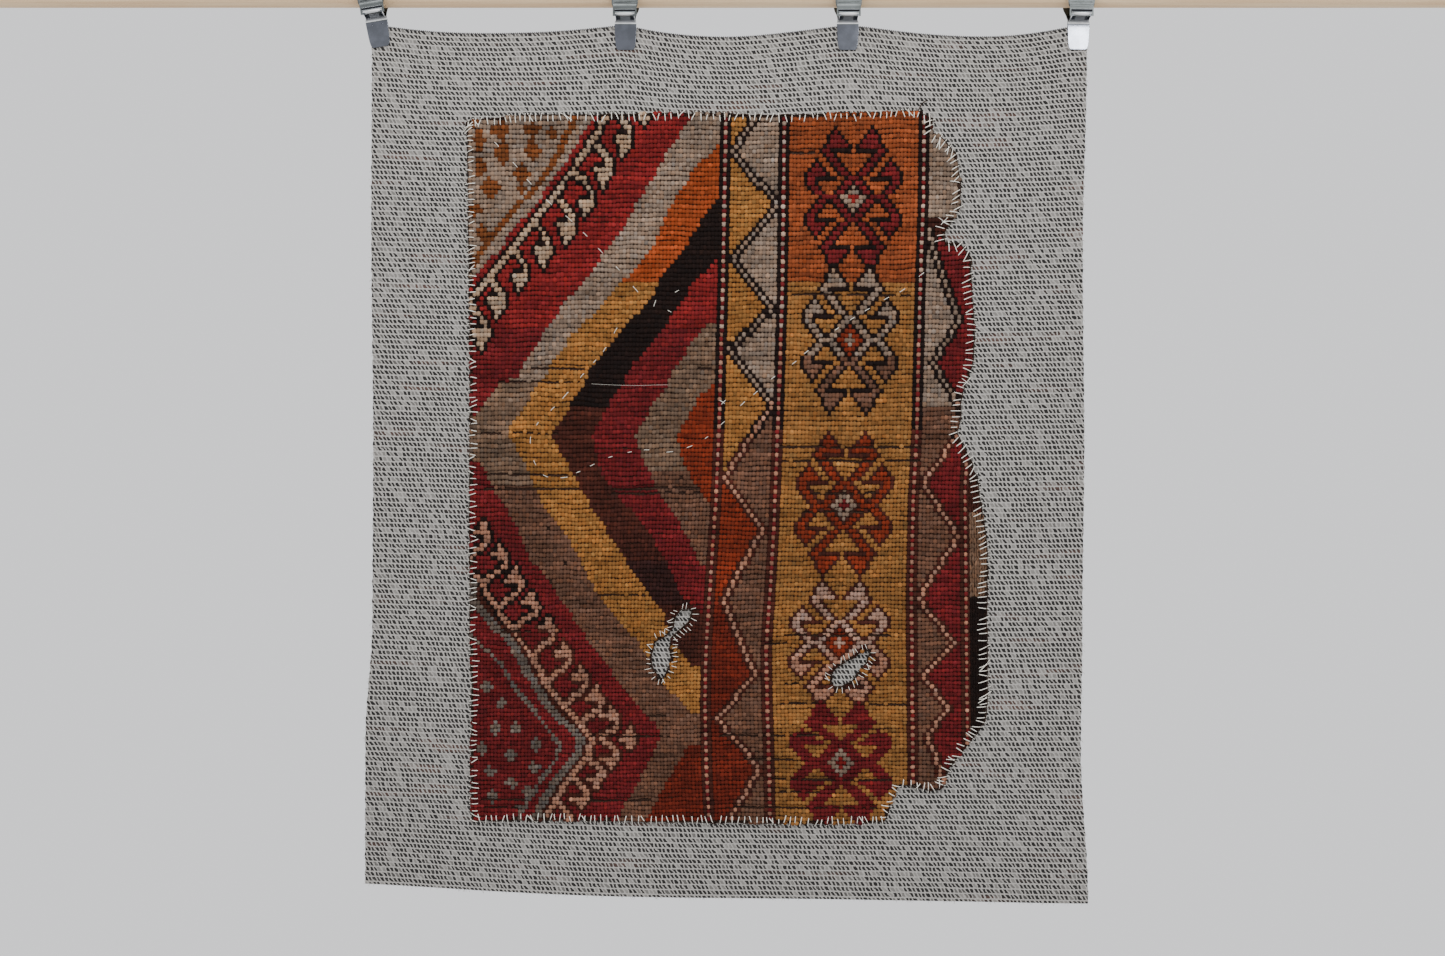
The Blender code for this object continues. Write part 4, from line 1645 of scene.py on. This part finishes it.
    def thin_lines(self) -> None:
        """The thin lines of red and white knots, dark at both sides, between the stripes."""
        for column in THIN_LINES:
            held = self.down > (440 if column == CORD_LINE else 0)
            beside = (np.abs(self.column - column) == 1) & held
            self.paint(beside, Dye.BLACK)
            self.paint(beside & (self.down > 430), Dye.MAROON)
            self.paint((self.column == column) & (self.row % 2 == 0) & held, Dye.CRIMSON)
            pale = (self.column == column) & (self.row % 2 == 1) & held
            self.paint(pale, Dye.CREAM)
            self.paint(pale & (self.down > 330), Dye.PINK_BEIGE)

    def knots(self) -> np.ndarray:
        """Which knots are left on the worn rug.

        Returns:
            True where a knot is left.
        """
        x, z = placed(self.across, self.down)
        kept = inside(RUG_OUTLINE, x, z)
        ragged = self.rng.random(x.shape) < 0.55
        kept &= ~near_path(list(RUG_OUTLINE) + [RUG_OUTLINE[0]], x, z, 1.6) | ragged
        for hole in RugFragment.edges()[1:]:
            kept &= ~inside(hole, x, z) & ~near_path(hole, x, z, 1.5)
        for across, down in MOTH_HOLES:
            kept &= np.hypot(self.across - across, self.down - down) > self.BARE
        return kept

    def lost(self) -> np.ndarray:
        """Which knots have lost their pile.

        Returns:
            True where only the weft shows.
        """
        mask = np.zeros(self.across.shape, bool)
        for level, start, end in LOST_ROWS:
            row = np.abs(self.down - level) < 2.2
            mask |= row & (self.across > start) & (self.across < end)
        return mask & (self.rng.random(mask.shape) < 0.85)

    @staticmethod
    def blurred(values: np.ndarray, rows: int, columns: int) -> np.ndarray:
        """Blur random values over some rows and columns, to a spread of 1 again.

        Args:
            values: The values, a row for each row of knots.
            rows: Rows that are averaged.
            columns: Columns that are averaged.

        Returns:
            The blurred values.
        """
        for axis, count in ((0, rows), (1, columns)):
            kernel = np.hanning(count + 2)[1:-1]
            values = np.apply_along_axis(np.convolve, axis, values, kernel, mode="same")
        return values / values.std()

    def colours(self) -> np.ndarray:
        """Linear colour of each knot, uneven as hand-dyed wool is.

        Returns:
            Red, green and blue of each knot.
        """
        table = np.array([dye.light() for dye in DYES])
        rgb = table[self.dye]
        each = self.rng.normal(0, 1, self.across.shape)
        streaks = self.blurred(self.rng.normal(0, 1, self.across.shape), 1, 13)
        patches = self.blurred(self.rng.normal(0, 1, self.across.shape), 9, 15)
        shade = np.exp(0.15 * each + 0.13 * streaks + 0.08 * patches)
        warm = np.exp(0.05 * self.rng.normal(0, 1, self.across.shape))
        return np.clip(rgb * shade[..., None] * np.stack([warm, np.ones_like(warm), 1 / warm],
                                                         axis=-1), 0, 1)


@dataclass(frozen=True)
class RugFragment:
    """The rug: its ground weave, with worn edges and two holes, and its knots."""

    cell: float = 10.0
    edge_step: float = 4.0
    pieces: int = 4
    ragged_by: float = 0.35
    shoulder: float = 0.94        # share of a tuft's width that its shoulder has
    shoulder_high: float = 0.6
    lie: float = -0.18            # how far a tuft leans down, as a share of its height
    sunk: float = 0.15 * MM       # how far a tuft's foot is sunk into the ground
    rim_radius: float = 0.55 * MM

    @staticmethod
    def hole_loop(rows: Sequence[tuple[float, float, float]]) -> list[tuple[float, float]]:
        """The closed outline of a worn hole.

        Args:
            rows: x, z and half the width at places along the hole.

        Returns:
            Its corners.
        """
        left, right = [], []
        for index, (x, z, half) in enumerate(rows):
            before, after = rows[max(index - 1, 0)], rows[min(index + 1, len(rows) - 1)]
            along = Vector((after[0] - before[0], after[1] - before[1])).normalized()
            left.append((x - along.y * half, z + along.x * half))
            right.append((x + along.y * half, z - along.x * half))
        return left + right[::-1]

    @classmethod
    def edges(cls) -> list[Curve]:
        """The rug's outline, and then the outlines of its holes."""
        return [RUG_OUTLINE, cls.hole_loop(LONG_HOLE), cls.hole_loop(SLANT_HOLE)]

    def worn_loop(self, loop: Curve, rng: np.random.Generator) -> list[tuple[float, float]]:
        """A loop in short steps, a little ragged.

        Args:
            loop: Its corners.
            rng: Seeded random numbers.

        Returns:
            The ragged corners.
        """
        worn = []
        for start, end in zip(loop, list(loop[1:]) + [loop[0]]):
            run = Vector(end) - Vector(start)
            steps = max(1, round(run.length / self.edge_step))
            for step in range(steps):
                spot = Vector(start) + run * step / steps
                worn.append((spot.x + rng.normal(0, self.ragged_by),
                             spot.y + rng.normal(0, self.ragged_by)))
        return worn

    def ground_mesh(self, rng: np.random.Generator) -> Mesh:
        """The ground weave: a thin draped sheet with the holes cut out.

        Args:
            rng: Seeded random numbers.

        Returns:
            Its closed mesh.
        """
        bm = bmesh.new()
        for loop in self.edges():
            verts = [bm.verts.new((x, 0, z)) for x, z in self.worn_loop(loop, rng)]
            for first, second in zip(verts, verts[1:] + verts[:1]):
                bm.edges.new((first, second))
        bmesh.ops.triangle_fill(bm, edges=bm.edges, use_beauty=True, normal=(0, -1, 0))
        for axis, side in zip((Vector((1, 0, 0)), Vector((0, 0, 1))), np.array(RUG_OUTLINE).T):
            for cut in np.arange(side.min() + self.cell, side.max(), self.cell):
                geom = bm.verts[:] + bm.edges[:] + bm.faces[:]
                bmesh.ops.bisect_plane(bm, geom=geom, dist=0.001, plane_co=axis * cut,
                                       plane_no=axis)
        mesh = Piece.mesh(bm, "rug ground", False)
        x, _, z = Piece.corners(mesh).astype(float).T * MM
        Piece.move(mesh, laid_on(x, z, RUG_BACK + GROUND_THICK / 2))
        return Piece.settled(mesh, GROUND_THICK)

    def tuft(self) -> Mesh:
        """One knot's end: a low dome, a unit wide, long and high, facing -Y.

        Returns:
            Its mesh, open at the foot.
        """
        bm = bmesh.new()
        bmesh.ops.create_circle(bm, cap_ends=True, segments=6, radius=0.5)
        for item in bmesh.ops.extrude_face_region(bm, geom=bm.faces[:])["geom"]:
            if isinstance(item, BMVert):
                item.co = (item.co.x * self.shoulder, item.co.y * self.shoulder,
                           self.shoulder_high)
        top = [face for face in bm.faces if min(v.co.z for v in face.verts) > 0.5]
        for vert in bmesh.ops.poke(bm, faces=top)["verts"]:
            vert.co.z = 1.0
        base = [face for face in bm.faces if max(v.co.z for v in face.verts) < 0.1]
        bmesh.ops.delete(bm, geom=base, context='FACES_ONLY')
        bmesh.ops.rotate(bm, verts=bm.verts, matrix=Matrix.Rotation(pi / 2, 3, 'X'))
        bmesh.ops.triangulate(bm, faces=bm.faces)
        return Piece.mesh(bm, "tuft")

    def pile_meshes(self, rng: np.random.Generator) -> list[Mesh]:
        """All knots, in a few meshes from top to bottom.

        Args:
            rng: Seeded random numbers.

        Returns:
            The meshes.
        """
        chart = KnotChart(rng)
        kept, lost, rgb = chart.knots(), chart.lost(), chart.colours()
        gap = np.gradient(chart.across, axis=1)
        pitch = np.gradient(chart.down, axis=0)
        cords = chart.column > CORD_LINE
        close = np.interp(chart.down, (430, 500), (1.52, 1.4))
        worn = np.clip(chart.blurred(rng.normal(0, 1, gap.shape), 3, 9), -1.6, 1.6)
        wide = gap * np.where(cords, 1.05, close) * np.exp(rng.normal(0, 0.07, gap.shape))
        long = pitch * np.where(cords, 1.6, 1.17 - 0.05 * worn)
        long = long * np.exp(rng.normal(0, 0.06, gap.shape))
        high = PILE_HIGH / MM * np.clip(0.86 + rng.normal(0, 0.09, gap.shape), 0.5, 1.04)
        high = np.where(lost, high * 0.7, np.where(cords, high * 0.8, high))
        long = np.where(lost, long * 0.52, long)
        rgb = np.where(lost[..., None], rgb * 0.75, rgb)
        wander = 0.35 * np.sin(chart.across / 37 + chart.down / 61)
        wander = wander + 0.4 * chart.blurred(rng.normal(0, 1, gap.shape), 5, 9)
        x, z = placed(chart.across, chart.down)
        x = x + rng.normal(0, 0.16, gap.shape)
        z = z + wander + rng.normal(0, 0.18, gap.shape)
        z = np.where(lost, z + 0.22 * pitch, z)
        turn = rng.normal(0, 0.22, gap.shape)
        tuft = self.tuft()
        corners = Piece.corners(tuft).astype(float)
        faces = np.array([face.vertices[:] for face in tuft.polygons])
        meshes = []
        cuts = np.linspace(0, kept.shape[0], self.pieces + 1).astype(int)
        for start, end in zip(cuts, cuts[1:]):
            pick = np.zeros_like(kept)
            pick[start:end] = kept[start:end]
            c, s = np.cos(turn[pick])[:, None], np.sin(turn[pick])[:, None]
            local_x = corners[None, :, 0] * wide[pick][:, None]
            local_z = corners[None, :, 2] * long[pick][:, None]
            up = -corners[None, :, 1] * high[pick][:, None]
            lean = up * self.lie
            px = (x[pick][:, None] + c * local_x - s * local_z) * MM
            pz = (z[pick][:, None] + s * local_x + c * local_z + lean) * MM
            proud = GROUND_FRONT - self.sunk + up * MM
            points = laid_on(px, pz, proud).reshape(-1, 3)
            count = int(pick.sum())
            index = (faces[None] + (np.arange(count) * len(corners))[:, None, None]).reshape(-1, 3)
            mesh = bpy.data.meshes.new("pile")
            mesh.from_pydata(points.tolist(), [], index.tolist())
            shade = np.repeat(rgb[pick], len(corners), axis=0).reshape(count, len(corners), 3)
            # painted shade: each knot is darker towards its foot, where the gaps between knots
            # fall in shade
            depth = np.clip(0.5 + 0.6 * up / PILE_HIGH * MM, 0.4, 1.0)[..., None]
            dye_with_foot_shade = np.concatenate([shade * depth, np.ones((count, len(corners), 1))], axis=-1)
            Piece.mark(mesh, "dye", 'FLOAT_COLOR', dye_with_foot_shade)
            Piece.front_map(mesh)
            meshes.append(mesh)
        return meshes

    def edge_weft_and_shadow_mesh(self, rng: np.random.Generator) -> Mesh:
        """Dark weft ends felted along the worn edges and round the holes, partly a painted shadow
        line.

        Args:
            rng: Seeded random numbers.

        Returns:
            Their mesh.
        """
        paths = []
        for loop in self.edges():
            spots = np.array(self.worn_loop(loop, rng))
            spots = np.vstack([spots, spots[:1]]) * MM
            for lift in (0.2, 0.6):
                spots = spots + rng.normal(0, 0.3, spots.shape) * MM
                spots[-1] = spots[0]
                paths.append(laid_on(spots[:, 0], spots[:, 1], RUG_BACK + lift * RUG_THICK))
        x, z = placed(*np.array(WEFT_END).T) * MM
        paths.append(laid_on(x, z, GROUND_FRONT))
        return Piece.threads("rims", paths, self.rim_radius)

    def build(self, ground: Material, wool: Material
              ) -> tuple[Object, list[Object]]:
        """Make the rug.

        Args:
            ground: Finish of the ground weave.
            wool: Finish of the knots.

        Returns:
            The ground weave, and the pieces of pile on it.
        """
        rng = np.random.default_rng(SEED + 1)
        sheet = Piece.add("rug_ground", self.ground_mesh(rng), ground, "wool_pile")
        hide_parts("rug_fragment")
        pile = [Piece.add(f"rug_pile_{number}", mesh, wool, "wool_pile", 80)
                for number, mesh in enumerate(self.pile_meshes(rng), start=1)]
        # dark threads: weft ends, and partly a painted shadow along the edges and holes
        rims = Piece.add("rug_rims_and_edge_shadow", self.edge_weft_and_shadow_mesh(rng), ground, "wool_pile")
        return sheet, [*pile, rims]


# Basting stitches across the rug: the middle of each visible stitch, as across, down
BASTING_RUNS = (
    ((498, 146), (516, 166), (530, 183), (549.5, 203), (569, 219), (586, 235.5), (601, 251.5),
     (618, 269), (636, 290)),
    ((677, 292), (655, 304), (670, 312)),
    ((616, 331), (605, 350), (595, 362), (582.5, 376), (566, 395.5), (553, 409), (538, 424),
     (531, 440), (535.5, 463), (546, 476), (564.5, 477.5), (579, 472), (593, 465), (611, 457),
     (631, 452), (647, 450), (670, 452), (690.5, 446.5), (707, 437.5), (723, 423), (742.5, 404),
     (755.5, 393), (773, 378), (794, 363), (806, 352.5), (837, 329), (852, 319), (867, 310),
     (886, 299), (902.5, 290.5), (921, 275)),
)

# Single threads that lie on the rug, each from and to, as across, down
LOOSE_THREADS = (((961, 378), (971, 386)), ((971, 377), (962, 387)), ((938, 218), (948, 226)),
                 ((948, 217), (939, 227)), ((719, 400), (725, 404)), ((726, 400), (721, 405)))
BARE_WEFT = ((592, 384.2), (604, 385), (620, 385.6), (640, 386), (656, 385.4), (668, 385.2))


@dataclass(frozen=True)
class Sewing:
    """The cream stitches that hold the rug to the cloth, with a few loose threads and the one
    bare weft. Reaches and spacings are in millimetres, the radii in metres."""

    every: float = 5.8
    inner: float = 6.4
    outer: float = 2.6
    hole_every: float = 4.6
    hole_inner: float = 7.0
    hole_outer: float = 0.5
    radius: float = 0.42 * MM
    fine: float = 0.28 * MM
    weft: float = 0.09 * MM
    right_side: float = 200.0

    def stitch(self, start: np.ndarray, end: np.ndarray, low_start: float,
               low_end: float) -> np.ndarray:
        """One stitch that lies over the pile.

        Args:
            start: x and z where it comes up, in millimetres.
            end: x and z where it goes down.
            low_start: How far in front of the cloth's middle it starts.
            low_end: How far in front of the cloth's middle it ends.

        Returns:
            Its points.
        """
        t = np.linspace(0, 1, 8)
        flat = (start[None] * (1 - t[:, None]) + end[None] * t[:, None]) * MM
        top = GROUND_FRONT + PILE_HIGH * 0.92
        proud = low_start + (top - low_start) * np.clip(t * 6, 0, 1)
        fall = np.clip((t - 0.55) / 0.45, 0, 1) ** 1.3
        proud = proud * (1 - fall) + low_end * fall
        return laid_on(flat[:, 0], flat[:, 1], proud)

    def whipped(self, loop: Curve, outwards: float, inner: float, outer: float, every: float,
                rng: np.random.Generator) -> list[np.ndarray]:
        """Whip stitches along an edge.

        Args:
            loop: The edge's corners.
            outwards: 1 where the left-hand side of the loop is outside, otherwise -1.
            inner: Reach onto the rug, in millimetres.
            outer: Reach onto the cloth.
            every: How far apart the stitches are.
            rng: Seeded random numbers.

        Returns:
            Points of each stitch.
        """
        corners = np.array(list(loop) + [loop[0]], float)
        runs = np.diff(corners, axis=0)
        lengths = np.hypot(runs[:, 0], runs[:, 1])
        ends = np.concatenate([[0], np.cumsum(lengths)])
        low = CLOTH_THICK / 2 - 0.1 * MM
        paths, at = [], 2.0
        while at < ends[-1] - 2:
            side = min(int(np.searchsorted(ends, at, side="right")) - 1, len(runs) - 1)
            along = runs[side] / lengths[side]
            out = np.array([-along[1], along[0]]) * outwards
            spot = corners[side] + along * (at - ends[side])
            right = outwards > 0 and spot[0] > self.right_side
            slant = rng.normal(0, 1.7)
            if right:
                slant += 3.2 if spot[1] > -300 else 1.4
            reach = inner + rng.normal(0, 0.9) + (2.2 if right else 0)
            start = spot - out * reach + along * slant
            end = spot + out * (outer + rng.normal(0, 0.5)) - along * slant * 0.4
            paths.append(self.stitch(start, end, GROUND_FRONT, low))
            if rng.random() < 0.05:
                paths.append(self.stitch(start + along * 4, end - along * 3, GROUND_FRONT, low))
            at += every * np.exp(rng.normal(0, 0.16))
        return paths

    def basted(self, rng: np.random.Generator) -> list[np.ndarray]:
        """Long basting stitches across the rug.

        Args:
            rng: Seeded random numbers.

        Returns:
            Points of each stitch.
        """
        paths = []
        low = GROUND_FRONT + 1 * MM
        for number, run in enumerate(BASTING_RUNS):
            reach = 3.0 if number else 3.6
            places = np.array(run)
            ways = np.gradient(places, axis=0)
            for place, way in zip(places, ways):
                way = way / np.hypot(*way) * (reach + rng.normal(0, 0.5))
                paths.append(self.stitch(placed(*(place - way)), placed(*(place + way)), low, low))
        return paths

    def loose(self) -> list[np.ndarray]:
        """The single threads that lie on the rug."""
        return [self.stitch(placed(*start), placed(*end), GROUND_FRONT, GROUND_FRONT + 1 * MM)
                for start, end in LOOSE_THREADS]

    @staticmethod
    def bare_weft() -> np.ndarray:
        """The one bare weft that lies across the worn field."""
        x, z = placed(*smoothed(np.array(BARE_WEFT), 2).T) * MM
        return laid_on(x, z, GROUND_FRONT + PILE_HIGH * 0.9)

    def build(self, cream: Material) -> Object:
        """Sew the rug on.

        Args:
            cream: Finish of the thread.

        Returns:
            All stitches.
        """
        rng = np.random.default_rng(SEED + 2)
        paths = self.whipped(RUG_OUTLINE, 1.0, self.inner, self.outer, self.every, rng)
        fine = self.basted(rng) + self.loose()
        for hole in RugFragment.edges()[1:]:
            fine += self.whipped(hole, -1.0, self.hole_inner, self.hole_outer, self.hole_every,
                                 rng)
        mesh = Piece.joined([Piece.threads("whip stitches", paths, self.radius),
                             Piece.threads("fine stitches", fine, self.fine),
                             Piece.threads("bare weft", [self.bare_weft()], self.weft)],
                            "stitches")
        return Piece.add("rug_stitches", mesh, cream, "sewing_thread")


@dataclass(frozen=True)
class Studio:
    """Camera, soft lights, pale surroundings and floor."""

    camera_y: float = -2.0
    camera_z: float = -484.4 * MM
    lens: float = 49.83
    sensor: float = 36.0
    aim: tuple[float, float, float] = (0, 0, -0.45)
    floor_z: float = -1.5
    floor_radius: float = 1.7
    surround: Colour = (0.97, 0.975, 1.0)
    surround_strength: float = 1.08

    # Name, place, width and height, and watts of each soft light
    LIGHTS = (
        ("window light", (0.79, -2.4, 0.49), (0.33, 0.33), 13),
        ("key light", (-0.2, -1.15, 0.9), (1.5, 0.6), 20),
        ("fill light", (-1.6, -2.2, 0.9), (1.8, 1.8), 5),
        ("back light", (0.6, 2.4, 0.9), (1.8, 1.8), 9),
    )

    def light(self, name: str, place: tuple[float, float, float], size: tuple[float, float],
              watts: float) -> None:
        """Add a soft light that faces the rug.

        Args:
            name: Name of the light.
            place: Where it stands.
            size: Its width and height.
            watts: Its power.
        """
        lamp = bpy.data.lights.new(name, 'AREA')
        lamp.shape, (lamp.size, lamp.size_y), lamp.energy = 'RECTANGLE', size, watts
        stand = Piece.shown(name, lamp)
        stand.location = place
        way = Vector(self.aim) - Vector(place)
        stand.rotation_euler = way.to_track_quat('-Z', 'Y').to_euler()

    def build(self) -> None:
        """Set up the studio."""
        scene = bpy.context.scene
        camera = Piece.shown("camera", bpy.data.cameras.new("camera"))
        camera.data.lens, camera.data.sensor_width = self.lens, self.sensor
        camera.data.sensor_fit = 'HORIZONTAL'
        camera.location = (0, self.camera_y, self.camera_z)
        camera.rotation_euler = (pi / 2, 0, 0)
        scene.camera = camera
        world = bpy.data.worlds.new("pale surroundings")
        world.use_nodes = True
        background = world.node_tree.nodes["Background"]
        background.inputs["Color"].default_value = (*self.surround, 1.0)
        background.inputs["Strength"].default_value = self.surround_strength
        scene.world = world
        for row in self.LIGHTS:
            self.light(*row)
        bm = bmesh.new()
        bmesh.ops.create_circle(bm, cap_ends=True, segments=96, radius=self.floor_radius)
        bmesh.ops.translate(bm, verts=bm.verts, vec=(0, 0, self.floor_z))
        floor = Piece.shown("floor", Piece.mesh(bm, "floor", False))
        floor.data.materials.append(FloorPaint().build())


def main() -> None:
    """Dress the whole part."""
    logging.basicConfig(level=logging.INFO, format="%(name)s: %(message)s")
    WoodenRod().build(PaleWood().build())
    steel = ClipSteel().build()
    holders = []
    for number, place in enumerate(CLIP_PLACES, start=1):
        strap, jaw, _ = LeverClip(number, place).build(steel)
        holders += [strap, jaw]
    overcast = SpunThread("grey thread", (66, 64, 65), (40, 38, 40)).build()
    cloth = BackingCloth().build(BackingWeave().build(), overcast, holders)
    sheet, pile = RugFragment().build(GroundWeave().build(), WoolPile().build())
    cream = SpunThread("cream thread", (238, 234, 222), (208, 202, 188)).build()
    stitches = Sewing().build(cream)
    Studio().build()


if __name__ == "__main__":
    main()
